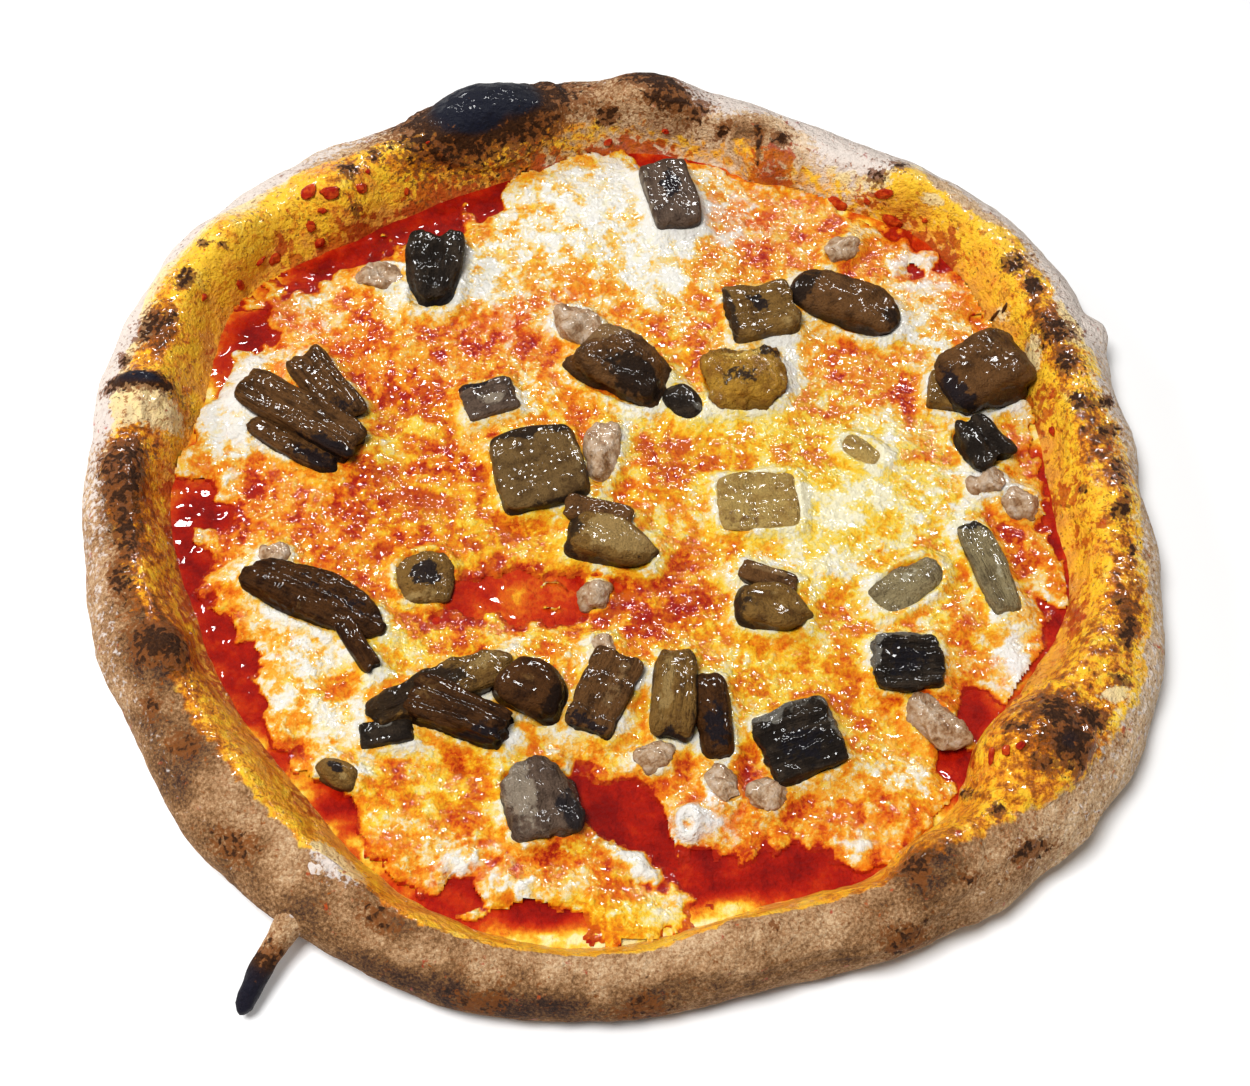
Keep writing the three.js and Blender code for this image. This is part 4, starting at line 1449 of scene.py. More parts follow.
class Cheese:
    """The melted mozzarella: one sheet, from milk white where it is thick to orange where oil and
    tomato soak it, open over the pools."""

    STEP = 0.86
    DIP = 0.35  # how far the sheet dips under the sauce before it ends
    EDGE_WANDER, EDGE_REACH = 13.0, 3.6  # how unevenly, and how much further, it runs up to the rim
    EVEN_MILK = 0.40
    # Where the cheese is milkier (above 0) or more soaked with oil and tomato (below 0).
    MILK = patches("""
        -6 115 30 17 -12 0.62
        8 90 20 11 0 0.5
        -30 92 17 10 20 0.38
        -45 78 20 8 10 0.30
        -97 71 13 8 -45 0.42
        -118 35 9 20 12 0.55
        -112 48 12 8 0 0.35
        -122 10 9 15 0 0.35
        -128 28 5 12 0 0.2
        36 108 15 12 0 0.22
        14 76 15 8 0 0.25
        54 52 10 9 0 0.42
        50 36 9 9 0 0.3
        96 82 14 10 -45 0.42
        105 64 8 12 -40 0.3
        84 60 13 6 -10 0.28
        100 47 9 7 0 0.28
        66 -6 22 14 0 0.36
        60 -24 15 9 -20 0.28
        86 -4 15 12 0 0.28
        78 20 12 7 0 0.34
        28 30 11 6 0 0.30
        10 30 8 6 0 0.25
        113 -58 9 6 -30 0.5
        122 -36 4 6 0 0.2
        -97 -56 14 13 -40 0.42
        -84 -74 11 7 0 0.24
        -30 -80 12 3.5 -8 0.36
        6 -119 14 3.5 -36 0.6
        -6 -112 10 4 -20 0.3
        20 -106 12 9 -10 0.35
        63 -112 5 13 6 0.5
        85 -94 12 4.5 -8 0.4
        70 -92 8 5 40 0.3
        -44 -118 20 8 0 0.2
        -16 -124 14 6 0 0.24
        6 -131 12 5 0 0.3
        -64 -104 8 3 -20 0.5
        108 6 12 6 0 0.4
        112 30 8 5 0 0.3
        -52 96 8 5 0 0.25
        2 24 3 9 0 0.3
        -12 -2 10 3 -20 0.32
        40 -26 10 4 0 0.3
        -62 12 26 24 0 -0.16
        -85 -6 26 14 0 -0.14
        -42 -30 30 15 0 -0.18
        -8 -38 22 11 0 -0.22
        16 -40 18 8 0 -0.2
        -20 51 16 6 -20 -0.2
        40 17 26 7 0 -0.12
        16 12 12 10 0 -0.18
        86 42 9 8 0 -0.2
        -60 52 14 9 0 -0.14
        73 92 8 13 20 -0.2
        64 100 6 8 0 -0.2
        120 -12 8 18 0 -0.3
        112 -26 8 10 0 -0.12
        -26 -110 12 7 0 -0.1
        60 -62 18 16 0 -0.07
        -70 -14 12 8 0 -0.1
        -116 -2 10 8 0 -0.12
    """)
    # Where the cheese is yellow with butterfat (above 0) or pink with tomato (below 0).
    GOLD = patches("""
        -22 -18 42 34 0 0.42
        66 -4 34 24 0 0.8
        40 20 34 12 0 0.7
        -70 24 14 12 0 0.6
        -62 -4 16 8 0 0.5
        16 44 20 12 0 0.3
        48 -60 36 26 0 0.45
        -46 -96 26 12 0 0.5
        -66 -50 20 12 0 0.4
        -4 -134 40 6 0 0.9
        100 -30 14 14 0 0.3
        36 106 18 14 0 -0.8
        96 84 16 10 -45 -0.7
        -36 62 16 10 0 -0.6
        22 -106 14 10 0 -0.8
        113 -58 10 7 0 -0.7
        -104 66 14 10 0 -0.3
        -100 40 22 22 0 -0.5
        -118 4 10 16 0 -0.4
        -46 -120 18 10 0 -0.5
        -22 74 14 8 0 -0.4
        64 -108 10 12 0 -0.3
        -95 -52 12 8 0 -0.3
    """)
    RINGS = (
        Ring(-20.4, -33.5, 4.6, 1.1, 0.95, 0.62),
        Ring(18.4, -106, 2.6, 1.0, 1.5, 0.7),
        Ring(75, -18, 2.6, 0.6, 0.75, -0.22),
        Ring(-5.4, -49, 3.0, 0.8, 0.9, -0.05),
        Ring(92, 83, 3.6, 1.2, 0.8, -0.2),
        Ring(82, 83, 2.6, 1.0, 0.9, -0.2),
        Ring(58, -26, 2.2, 0.8, 0.9, -0.12),
    )
    LACE = patches("""
        -20 -118 44 18 0 1
        66 -104 14 14 0 0.9
        20 -104 20 10 0 0.6
        -118 4 16 28 0 0.7
        -30 -36 46 14 0 0.75
        100 -72 12 14 0 0.5
        -50 110 30 9 24 0.6
        34 104 22 14 0 0.4
        -70 10 40 30 0 0.4
        92 84 16 12 -45 0.4
    """)

    def __init__(self, effects: Effects, near: Callable[[np.ndarray, np.ndarray], np.ndarray]) -> None:
        """Takes the shared effects, and what tells how near a place is to a topping."""
        self.effects = effects
        self.near = near
        self.noise = Noise(37)

    def _milk(self, x: np.ndarray, y: np.ndarray) -> np.ndarray:
        """How milky the cheese is: the painted patches and rings, clouds of two sizes, and strings
        of cheese where it has torn into lace, which are the clouds' zero lines.

        Args:
            x: places.
            y: places.

        Returns:
            Values round 0.5.
        """
        flat = np.stack([x, y, np.zeros_like(x)], -1)
        wander = 4 * np.stack([self.noise.clouds(flat + 50, 14, 3), self.noise.clouds(flat + 90, 14, 3)])
        total = self.EVEN_MILK + painted(x + wander[0], y + wander[1], self.MILK)
        total += sum(ring.milk * ring.weight(x, y) for ring in self.RINGS)
        total += 0.22 * self.noise.clouds(flat, 9, 3) + 0.20 * self.noise.clouds(flat + 400, 22, 3)
        torn = np.clip(painted(x, y, self.LACE), 0, 1)
        bend = [self.noise.clouds(flat + 9, 6, 2), self.noise.clouds(flat + 5, 6, 2), 0 * x]
        bent = flat + 2.5 * np.stack(bend, -1)
        strings = np.exp(-((self.noise.clouds(bent + 200, 7.5, 2) / 0.10) ** 2))
        total += torn * (0.42 * strings - 0.16)
        return total + 0.3 * self.near(x, y)

    def _height(self, x: np.ndarray, y: np.ndarray) -> np.ndarray:
        """The sheet's surface: the model's thickness, raised where it is milky and where it clings
        to a topping, and uneven in three sizes.

        Args:
            x: places.
            y: places.

        Returns:
            Heights.
        """
        flat = np.stack([x, y, np.zeros_like(x)], -1)
        reach, foot = np.hypot(x, y), read_round(RIM_INNER, np.degrees(np.arctan2(y, x)))
        wander = self.EDGE_WANDER * self.noise.clouds(flat + 160, 9, 3) - self.EDGE_REACH
        shift = 1 + wander * smooth(-24, -5, reach - foot) / np.maximum(reach, 1)
        thick = Bed.thickness(x * shift, y * shift)
        milk = self._milk(x, y)
        relief = 0.55 * self.noise.clouds(flat + 7, 8, 3) + 0.22 * self.noise.clouds(flat + 70, 2.4, 2)
        rings = sum(0.9 * ring.weight(x, y) for ring in self.RINGS)
        lace = np.clip(painted(x, y, self.LACE), 0, 1) * 1.6 * (np.clip(milk, 0.1, 1.0) - 0.55)
        cling = 1.5 * self.near(x, y) * smooth(-1, 1, thick)
        ragged = 2.2 * self.noise.clouds(flat + 31, 6, 3) * smooth(2.4, 0.4, np.abs(thick + 0.6))
        return CHEESE_BASE + thick + relief + rings + lace + 1.1 * (milk - 0.5) + cling + ragged

    def _kept(self, x: np.ndarray, y: np.ndarray) -> np.ndarray:
        """Whether the sheet lies above the sauce, or dips just under it.

        Args:
            x: places.
            y: places.

        Returns:
            True where it is kept.
        """
        foot = read_round(RIM_INNER, np.degrees(np.arctan2(y, x)))
        inside = np.hypot(x, y) < foot + 4
        kept = np.zeros(len(x), bool)
        kept[inside] = self._height(x[inside], y[inside]) > SAUCE_TOP - self.DIP
        return kept

    def material(self) -> Material:
        """Cheese that runs from red sauce through orange oil and cream to milk white.

        Returns:
            The material.
        """
        made = Material("melted mozzarella", Gloss(0.55, coat=0.55, coat_roughness=0.05, mirror=0.06))
        g, place = made.graph, made.graph.place()
        clouds = g.noise(place, 6.4, detail=4, rough=0.5)
        curds = g.noise(place, 1.7, detail=3, rough=0.5)
        fine = g.noise(place, 0.8, detail=3)
        drops = g.use(self.effects.flecks, place=place, size=1.3, cover=0.2)
        lumps = g.add(g.times(g.step(clouds, -0.3, 0.3), 0.28), g.times(g.step(curds, -0.25, 0.35), 0.15))
        mottle = g.add(lumps, -0.22, g.times(clouds, 0.09), g.times(fine, 0.06))
        level = g.add(g.value("milk"), mottle, g.times(drops, 0.22))
        warm = g.ramp(level, [
            (0.00, (0.32, 0.010, 0.002)), (0.12, (0.52, 0.055, 0.003)), (0.26, (0.66, 0.140, 0.004)),
            (0.42, (0.73, 0.24, 0.010)), (0.57, (0.76, 0.37, 0.035)), (0.69, (0.77, 0.52, 0.17)),
            (0.80, (0.75, 0.64, 0.42)), (0.96, (0.76, 0.73, 0.66)),
        ])
        golden = g.ramp(level, [
            (0.04, (0.52, 0.085, 0.003)), (0.24, (0.68, 0.22, 0.004)), (0.41, (0.76, 0.37, 0.010)),
            (0.56, (0.80, 0.53, 0.040)), (0.74, (0.75, 0.60, 0.18)), (0.96, (0.78, 0.72, 0.50)),
        ])
        pink = g.ramp(level, [
            (0.00, (0.36, 0.012, 0.003)), (0.22, (0.58, 0.075, 0.008)), (0.42, (0.70, 0.21, 0.035)),
            (0.60, (0.73, 0.42, 0.22)), (0.78, (0.74, 0.60, 0.48)), (0.96, (0.76, 0.73, 0.69)),
        ])
        hue = g.noise(place, 3.6, detail=3, rough=0.6)
        gold = g.add(g.value("gold"), 0.12, g.times(hue, 0.6))
        made.color(g.mix(g.step(gold, -0.15, -0.65), g.mix(g.step(gold, 0.1, 0.7), warm, golden), pink))
        made.relief(g.add(curds, g.times(fine, 0.2)), 0.3)
        made.wet(place, 2.2, 0.22)
        return made

    def build(self) -> bpy.types.Object:
        """Builds, places and dresses the cheese.

        Returns:
            The object.
        """
        shape = field_shape(self._height, self._kept, self.STEP)
        x, y = shape.points[:, 0], shape.points[:, 1]
        shape.values["milk"] = self._milk(x, y) - 1.1 * smooth(0.9, -0.1, shape.points[:, 2] - SAUCE_TOP)
        shape.values["gold"] = painted(x, y, self.GOLD)
        made = shape.object("melted_cheese_looks")
        self.material().dress(made)
        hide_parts("melted_cheese")
        return made


# -------- Toppings --------


@dataclass(frozen=True)
class Piece:
    """A slice or crumb: how it is cut, its colour family, its middle, its length, width and
    thickness, the direction of its length, how far it stands above the cheese, and its dip."""

    cut: str
    tone: str
    x: float
    y: float
    length: float
    width: float
    thick: float
    turn: float
    lift: float
    pitch: float = 0.0


def pieces_from(rows: str) -> dict[str, Piece]:
    """Pieces from a text with a name and the piece's fields on each line."""
    made = {}
    for row in rows.strip().splitlines():
        name, cut, tone, *sizes = row.split()
        made[name] = Piece(cut, tone, *map(float, sizes))
    return made


PORCINI = pieces_from("""
    black_wedge wedge black -60 82 28 17 12 -92 1.5
    grey_block slab grey 16 112 26 16 11 -77 1.5
    notched_block slab olive 44 66 22 20 10 13 1
    glossy_leaf leaf brown 71 69 36 18 11 -26 2
    gilled_curl curl brown -1 44 31 20 13 -29 1
    roasted_lump lump golden 38 41 26 23 14 11 0.5
    dark_bead lump black 19 33 15 10 8 -49 0
    grey_chip slab grey -41 34 16 13 8 18 0
    square_slab slab umber -25 8 27 27 11 15 1 -3
    left_strip strip brown -98 26 42 14 10 -33 3.2
    left_under_strip strip brown -100 18 31 11 8 -30 0.5
    left_back_strip strip brown -91 37 28 13 9 -53 1.2
    middle_stem wedge olive -3 -18 26 14 12 -16 1.8
    middle_cap strip brown -7 -8 20 8 7 -14 1.5
    right_stem wedge olive 44 -40 21 13 11 -11 1.5
    right_cap strip brown 43 -30 17 7 6 -22 1.5
    long_slice leaf dark -90 -37 45 16 9 -25 1.8
    hanging_stem strip dark -76 -52 19 6 6 -56 2
    sunken_roundel lump olive -58 -28 18 18 7 10 -0.8
    fibrous_strip strip dark -46 -74 30 13 11 -22 3
    olive_strip strip olive -51 -66 41 11 9 23 2
    chocolate_slice curl dark -26 -68 21 15 11 -30 2
    dark_end slab black -66 -79 15 8 7 8 0.5
    oblong_slab slab brown -5 -67 26 15 9 -113 0.5
    cut_stem stem olive 15 -68 27 13 13 -94 2.5
    shaded_stem stem dark 26 -74 27 10 10 -84 0.3
    black_cube slab black 50 -82 22 22 11 20 0.3
    black_square slab black 82 -57 20 17 10 3 0
    rim_cap curl brown 112 40 28 23 15 25 3
    rim_chip slab olive 100 36 13 11 9 80 1
    black_triangle wedge black 109 17 18 14 11 120 2
    right_sliver strip veiled 108 -26 32 10 8 -71 0
    sunken_olive lump veiled 84 -31 24 14 7 34 -0.6
    pale_slab slab pale 41 -3 25 20 6 4 -0.8
    grey_peak wedge grey -23 -99 24 20 13 105 0.5
    front_eye lump olive -79 -91 13 8 7 -29 0.3
    pale_sliver lump pale 73 15 15 9 5 -34 -0.4
""")
SAUSAGE = pieces_from("""
    1 crumb sausage -8 -34 9 9 7 0 0.8
    2 crumb sausage -6 14 24 10 8 -97 0.8
    3 crumb sausage -14 62 17 13 9 -42 0.8
    4 crumb sausage 71 92 13 8 7 41 0.8
    5 crumb sausage 110 4 11 9 8 20 0.8
    6 crumb sausage 119 -3 12 10 7 -20 0.8
    7 crumb sausage 89 -76 19 12 8 -50 0.8
    8 crumb sausage 41 -97 14 9 6 38 0.8
    9 crumb sausage 9 -86 10 8 6 15 0.8
    10 crumb sausage -5 -51 9 6 5 -20 0.8
    11 crumb sausage -103 -21 9 7 5 10 0.8
    12 crumb sausage -77 82 17 9 6 4 0.8
    13 crumb sausage 28 -95 12 8 6 -55 0.8
""")
PIECE_WAVES = (3.1, 3.7, 4.3)


class Stain(Enum):
    """What a place on a slice is marked by."""

    SKIN = "skin"
    PALE = "pale"
    BURN = "burn"


@dataclass(frozen=True)
class Mark:
    """A stain on a slice. Its middle and its reach are in half lengths, half widths and half
    thicknesses of the slice."""

    stain: Stain
    at: tuple[float, float, float]
    reach: tuple[float, float, float]
    strength: float

    def weight(self, cube: np.ndarray) -> np.ndarray:
        """The strength times 1 / (1 + d⁴)."""
        d = ((cube - np.array(self.at)) / np.array(self.reach)) ** 2
        return self.strength / (1 + d.sum(1) ** 2)


@dataclass(frozen=True)
class Groove:
    """A groove across a slice: the axis it cuts (0 length, 1 width), where, how wide and deep."""

    axis: int
    at: float
    width: float
    depth: float


@dataclass(frozen=True)
class Look:
    """A slice's own relief and stains: how strong its fibres, lumps and pores are and how ragged
    its ends, in millimetres, and its grooves and marks."""

    fibres: float = 0.35
    lumps: float = 0.35
    pores: float = 0.0
    ragged: float = 0.8
    grooves: tuple[Groove, ...] = ()
    marks: tuple[Mark, ...] = ()


def looks_from(rows: str) -> dict[str, Look]:
    """Looks from a text. Each has a name, four sizes, and after bars its grooves ("groove" and four
    numbers) and stains (with middle, reach and strength). A line that starts with a bar goes on."""
    made = {}
    for row in rows.replace("\n        |", " |").strip().splitlines():
        (name, *sizes), *parts = (part.split() for part in row.split("|"))
        grooves, marks = [], []
        for kind, *words in parts:
            a, b, c, d, *rest = map(float, words)
            if kind == "groove":
                grooves.append(Groove(int(a), b, c, d))
            else:
                marks.append(Mark(Stain(kind), (a, b, c), (d, *rest[:2]), rest[2]))
        made[name] = Look(*map(float, sizes), tuple(grooves), tuple(marks))
    return made


LOOKS = looks_from("""
    black_wedge 0.3 0.6 0 1.2 | groove 1 0.1 2.2 1.6 | pale -0.2 0.5 1 0.9 0.25 0.6 0.35
    grey_block 0.25 0.25 0 0.6 | burn -0.1 0.1 1 0.45 0.4 1 0.8 | pale 0 -1 0.4 1.2 0.3 1 0.6
    notched_block 0.3 0.4 0 0.7 | groove 0 0.05 3.5 1.2 | groove 1 -0.1 2 0.8
        | burn 0 0.25 1 0.35 0.4 0.8 0.7 | skin -1 0 0.3 0.25 1.2 1.2 0.9 | pale 0.6 -0.6 1 0.5 0.5 0.8 0.5
    glossy_leaf 0.08 0.7 0 0.2 | skin -0.9 0 0.2 0.35 1.2 1.2 1 | skin 0.95 0 0.2 0.25 1.2 1.2 0.8
    gilled_curl 0.15 0.9 0.5 0.7 | pale -0.8 0.7 0.6 0.6 0.5 1 1 | skin 0.5 -0.3 0.8 0.7 0.7 1 0.9
    roasted_lump 0.05 1.7 0.7 0.9 | burn -0.3 -0.2 1 0.6 0.3 0.8 0.55 | burn 0.6 0.5 0.7 0.4 0.3 0.8 0.6
        | pale 0.1 0.6 0.8 0.6 0.4 0.8 0.6
    dark_bead 0.05 0.5 0 0.3 | pale 0.6 0.4 0.8 0.4 0.5 0.6 0.5
    grey_chip 0.3 0.5 0 1 | pale 0.1 -0.1 1 0.5 0.4 0.8 0.7 | burn -0.6 0.8 0.6 0.7 0.4 1 0.8
    square_slab 0.12 0.2 0.12 0.4 | skin 0.1 0.95 0.8 1.3 0.22 0.8 0.95
        | skin 0.2 -1.05 0.1 1.3 0.16 0.7 1.3 | pale 0.9 0.1 0.9 0.14 0.8 0.8 0.6
    left_strip 0.7 0.25 0 0.8 | groove 1 -0.15 1.2 0.5 | burn 0.75 -0.85 0.4 0.5 0.5 1.2 1.1
        | pale -0.3 0.5 1 0.9 0.3 0.6 0.35
    left_under_strip 0.6 0.3 0 0.8 | burn 0.7 -0.5 0.4 0.6 0.7 1.2 0.8
    left_back_strip 0.65 0.25 0 0.7 | burn 0.8 -0.2 0.4 0.4 1 1.2 0.6
    middle_stem 0.2 0.3 0 0.6 | pale 0.3 0.1 1 0.9 0.8 0.9 1 | skin -0.9 0 0 0.4 1.3 1.3 0.8
    middle_cap 0.2 0.4 0 0.5 | pale 0 0.2 1 1 0.4 0.6 0.3
    right_stem 0.2 0.3 0 0.6 | pale 0.4 0.2 1 0.7 0.6 0.8 0.4 | skin -0.8 -0.2 0 0.5 1.2 1.2 0.8
    right_cap 0.2 0.4 0 0.5 | pale 0 0.5 1 1 0.5 0.6 0.6
    long_slice 0.45 0.5 0.35 1.4 | groove 1 0.35 1.2 0.8 | burn 0.4 0.2 0.9 0.8 0.25 1 0.5
        | pale 0 -0.7 0.7 0.9 0.25 0.8 0.35
    hanging_stem 0.4 0.2 0 0.5
    sunken_roundel 0.1 1 0.3 0.5 | burn 0.05 0.1 0.8 0.45 0.45 1.2 1 | pale -0.3 -0.7 0.8 0.8 0.3 1 0.6
    fibrous_strip 0.8 0.4 0 1.4 | groove 1 0.3 1 0.9 | groove 1 -0.35 1 0.8
        | burn 0.8 -0.7 0 0.7 0.5 1.2 0.9 | pale -0.8 0.3 0.9 0.4 0.6 0.8 0.5
    olive_strip 0.45 0.8 0 0.9 | pale 0.75 0.4 0.9 0.4 0.6 1 0.6 | skin -0.4 0 0.6 0.8 1.2 1.2 1
    chocolate_slice 0.1 0.35 0 0.4 | pale -0.2 0.1 1 0.5 0.35 0.8 0.45 | skin 0.9 0 0.3 0.5 1.2 1.2 0.9
    dark_end 0.2 0.5 0 0.8 | pale 0 0.5 0.8 0.5 0.4 0.8 0.5
    oblong_slab 0.35 0.4 0.2 0.9 | groove 0 -0.45 1 0.5 | groove 0 0.5 1 0.5
        | pale -0.2 0.3 1 0.9 0.4 0.8 0.5 | burn 0.9 0 0.3 0.3 1.2 1 0.8
    cut_stem 0.4 0.25 0 0.5 | pale -0.1 -0.3 1 0.9 0.4 0.8 0.6 | burn 0.98 0 0.1 0.12 0.7 0.8 1.2
        | skin 0 1 0.2 1.2 0.3 1 0.7
    shaded_stem 0.3 0.4 0 0.6 | burn 0.3 0 0.8 0.6 0.8 1 0.7
    black_cube 0.55 0.6 0.3 0.9 | pale -0.4 1.02 0.5 1.1 0.3 1 1.2 | pale 1.02 0.2 0.4 0.2 0.9 1 1.1
        | burn 0 -0.2 1 0.7 0.6 0.8 0.6
    black_square 0.7 0.7 0.3 0.9 | burn 0 0 1 0.6 0.6 0.8 0.6 | pale -0.3 1 0.5 0.9 0.22 1 1.1
        | pale -1 0.2 0.5 0.2 0.7 1 0.9
    rim_cap 0.1 0.8 0 0.3 | burn -0.9 -0.3 0.2 0.25 0.8 1.3 1.1 | pale 0.5 0.3 0.9 0.6 0.5 0.8 0.35
    rim_chip 0.2 0.5 0 0.5 | burn -0.2 -0.6 0.6 0.5 0.4 1 0.7
    black_triangle 0.15 0.8 0 0.7 | groove 1 -0.2 2 1.6 | pale 0 0.7 0.6 1 0.25 1 0.35
    right_sliver 0.5 0.5 0 0.8 | burn -0.9 0 0.6 0.25 1 1 0.9 | pale 0.3 0.4 0.9 0.8 0.4 0.8 0.4
    sunken_olive 0.2 0.8 0.3 0.5 | pale 0.1 0.3 0.9 0.8 0.4 0.8 0.4
    pale_slab 0.2 0.3 0 0.5 | groove 0 -0.1 2 0.5 | groove 0 0.5 1.6 0.4 | skin -0.4 -0.6 1 0.5 0.5 0.8 0.5
    grey_peak 0.2 1.2 0 1.4 | pale 0.2 0.5 0.8 1 0.5 1 0.8 | skin -0.6 -0.8 0.5 0.6 0.4 1 0.8
    front_eye 0.1 0.6 0 0.3 | burn -0.2 0.2 0.9 0.35 0.35 0.8 0.9 | pale 0.3 -0.2 0.9 0.3 0.4 0.8 0.6
    pale_sliver 0.1 0.6 0 0.5
""")


@dataclass(frozen=True)
class Tone:
    """The colours of a family of slices: flesh, streaks, skin (also used for the painted shade on the sides and
    underside) and pale places (also used for the painted glint specks), and the gloss.
    """

    slot: str
    flesh: Color
    streak: Color
    skin: Color
    pale: Color
    gloss: Gloss


WET = Gloss(0.6, coat=0.32, coat_roughness=0.09, mirror=0.04)
TONES = {
    "black": Tone(
        "black_porcini", (0.016, 0.011, 0.008), (0.050, 0.034, 0.022),
        (0.005, 0.005, 0.007), (0.26, 0.24, 0.20), WET,
    ),
    "grey": Tone(
        "grey_porcini", (0.15, 0.098, 0.068), (0.065, 0.040, 0.028),
        (0.016, 0.014, 0.017), (0.36, 0.29, 0.21), WET,
    ),
    "dark": Tone(
        "dark_porcini", (0.088, 0.033, 0.009), (0.026, 0.009, 0.003),
        (0.011, 0.005, 0.003), (0.20, 0.10, 0.030), WET,
    ),
    "brown": Tone(
        "brown_porcini", (0.160, 0.070, 0.022), (0.060, 0.025, 0.008),
        (0.014, 0.009, 0.007), (0.28, 0.16, 0.065), WET,
    ),
    "olive": Tone(
        "olive_porcini", (0.25, 0.132, 0.032), (0.115, 0.052, 0.013),
        (0.020, 0.013, 0.010), (0.42, 0.27, 0.095), WET,
    ),
    "umber": Tone(
        "olive_porcini", (0.19, 0.108, 0.036), (0.080, 0.040, 0.013),
        (0.016, 0.010, 0.008), (0.34, 0.22, 0.085), WET,
    ),
    "veiled": Tone(
        "olive_porcini", (0.32, 0.25, 0.125), (0.17, 0.125, 0.062),
        (0.085, 0.058, 0.030), (0.58, 0.52, 0.36), WET,
    ),
    "pale": Tone(
        "pale_porcini", (0.50, 0.33, 0.10), (0.32, 0.18, 0.045),
        (0.20, 0.10, 0.03), (0.72, 0.62, 0.42), WET,
    ),
    "golden": Tone(
        "golden_porcini", (0.50, 0.26, 0.032), (0.27, 0.11, 0.015),
        (0.05, 0.020, 0.006), (0.74, 0.50, 0.12), WET,
    ),
}


class Slice:
    """A slice of porcini or a crumb of sausage as a fine mesh."""

    STEP = 0.58

    def __init__(self, name: str, piece: Piece, look: Look, seed: int) -> None:
        """Takes the slice's sizes and look; the seed sets its unevenness."""
        self.name, self.piece, self.look, self.seed = name, piece, look, seed
        self.cut = CUTS[piece.cut]
        self.noise = Noise(100 + seed)

    def _local(self, cube: np.ndarray) -> tuple[np.ndarray, np.ndarray]:
        """A cube's points pulled to a rounded block by the power mean of their coordinates, then
        tapered, thinned, bowed and made uneven by sine waves.

        Args:
            cube: points on a cube from -1 to 1.

        Returns:
            The points in millimetres round the slice's middle, and the block's own coordinates.
        """
        cut = self.cut
        reach = (np.abs(cube) ** cut.square).sum(1) ** (1 / cut.square)
        u, v, w = (cube / reach[:, None]).T
        width = 1 + (np.where(u < 0, cut.tail, cut.head) - 1) * u * u
        height = 1 - cut.slim * np.maximum(0, u) ** 2
        along, across, through = PIECE_WAVES
        wave = np.sin(along * u + self.seed) * np.cos(across * v + 2 * self.seed)
        wave = wave + np.sin(through * w + along * u + 3 * self.seed)
        grow = 1 + cut.rough * wave
        x = self.piece.length / 2 * grow * u
        y = self.piece.width / 2 * grow * v * width + cut.bend * (1 - u * u)
        z = self.piece.thick / 2 * grow * w * height + cut.arch * (1 - u * u)
        return np.stack([x, y, z], -1), np.stack([u, v, w], -1)

    def _relief(self, points: np.ndarray, block: np.ndarray) -> np.ndarray:
        """How far the skin stands out: fibres along the slice, lumps, pores, torn ends, grooves.

        Args:
            points: places in the slice.
            block: the smooth slice.

        Returns:
            Heights.
        """
        look, noise = self.look, self.noise
        fibres = noise.clouds(points * np.array([0.12, 1, 1]), 1.9, 2)
        lumps = 1.5 * noise.clouds(points + 60, 5.0, 4)
        pores = 0.5 - noise.pebbles(points + 20, 1.7) if look.pores else 0.0
        ends = smooth(0.78, 1.0, np.abs(block[:, 0]))
        torn = noise.clouds(points * np.array([0.4, 1, 1]) + 80, 3.0, 3)
        total = look.fibres * fibres + look.lumps * lumps + look.pores * pores + look.ragged * ends * torn
        for groove in look.grooves:
            half = (self.piece.length, self.piece.width)[groove.axis] / 2
            offset = points[:, groove.axis] - groove.at * half + 0.8 * noise.value(points + 33, 6)
            total = total - groove.depth * np.exp(-((offset / groove.width) ** 2))
        return total

    def shape(self) -> Shape:
        """The slice in its place on the pizza, with its stains and the mask of painted shade on its sides and
        underside.

        Returns:
            Points and faces.
        """
        piece = self.piece
        steps = [max(6, round(size / self.STEP)) for size in (piece.length, piece.width, piece.thick)]
        cube = cube_shape(steps)
        points, block = self._local(cube.points)
        shape = Shape(points, cube.faces)
        points = points + shape.normals() * self._relief(points, block)[:, None]
        drift = 0.25 * np.stack([self.noise.clouds(points + k, 4.5, 3) for k in (0, 31, 77)], -1)
        values = {stain.value: np.zeros(len(points)) for stain in Stain}
        for mark in self.look.marks:
            values[mark.stain.value] = np.maximum(values[mark.stain.value], mark.weight(block + drift))
        values["grain"] = points + 40.0 * self.seed
        # Painted shade mask: 1 on the sides and underside of the block, 0 on its top.
        values["under"] = smooth(0.85, -0.1, block[:, 2])
        values["edge"] = smooth(0.72, 1.0, np.sort(np.abs(block), axis=1)[:, 1])
        values["fibrous"] = np.full(len(points), min(1.0, 1.6 * self.look.fibres))
        return Shape(self._placed(points), cube.faces, values)

    def _placed(self, points: np.ndarray) -> np.ndarray:
        """Dips the head by the pitch, turns the slice and sets it on the cheese.

        Args:
            points: places in the slice.

        Returns:
            Places in the part.
        """
        piece = self.piece
        x, y, z = points.T
        x, z = spun(x, z, -piece.pitch)
        x, y = spun(x, y, piece.turn)
        level = Bed.height(np.array([piece.x]), np.array([piece.y]))[0] + piece.lift
        return np.stack([x + piece.x, y + piece.y, z + level], -1)

    def clearance(self, x: np.ndarray, y: np.ndarray) -> np.ndarray:
        """Millimetres from places on the cheese to the slice's outline, below zero inside it.

        Args:
            x: places.
            y: places.

        Returns:
            Distances, negative inside.
        """
        piece = self.piece
        u, v = spun(x - piece.x, y - piece.y, -piece.turn)
        u, v, square = np.abs(u) / (piece.length / 2), np.abs(v) / (piece.width / 2), self.cut.square
        return ((u**square + v**square) ** (1 / square) - 1) * min(piece.length, piece.width) / 2


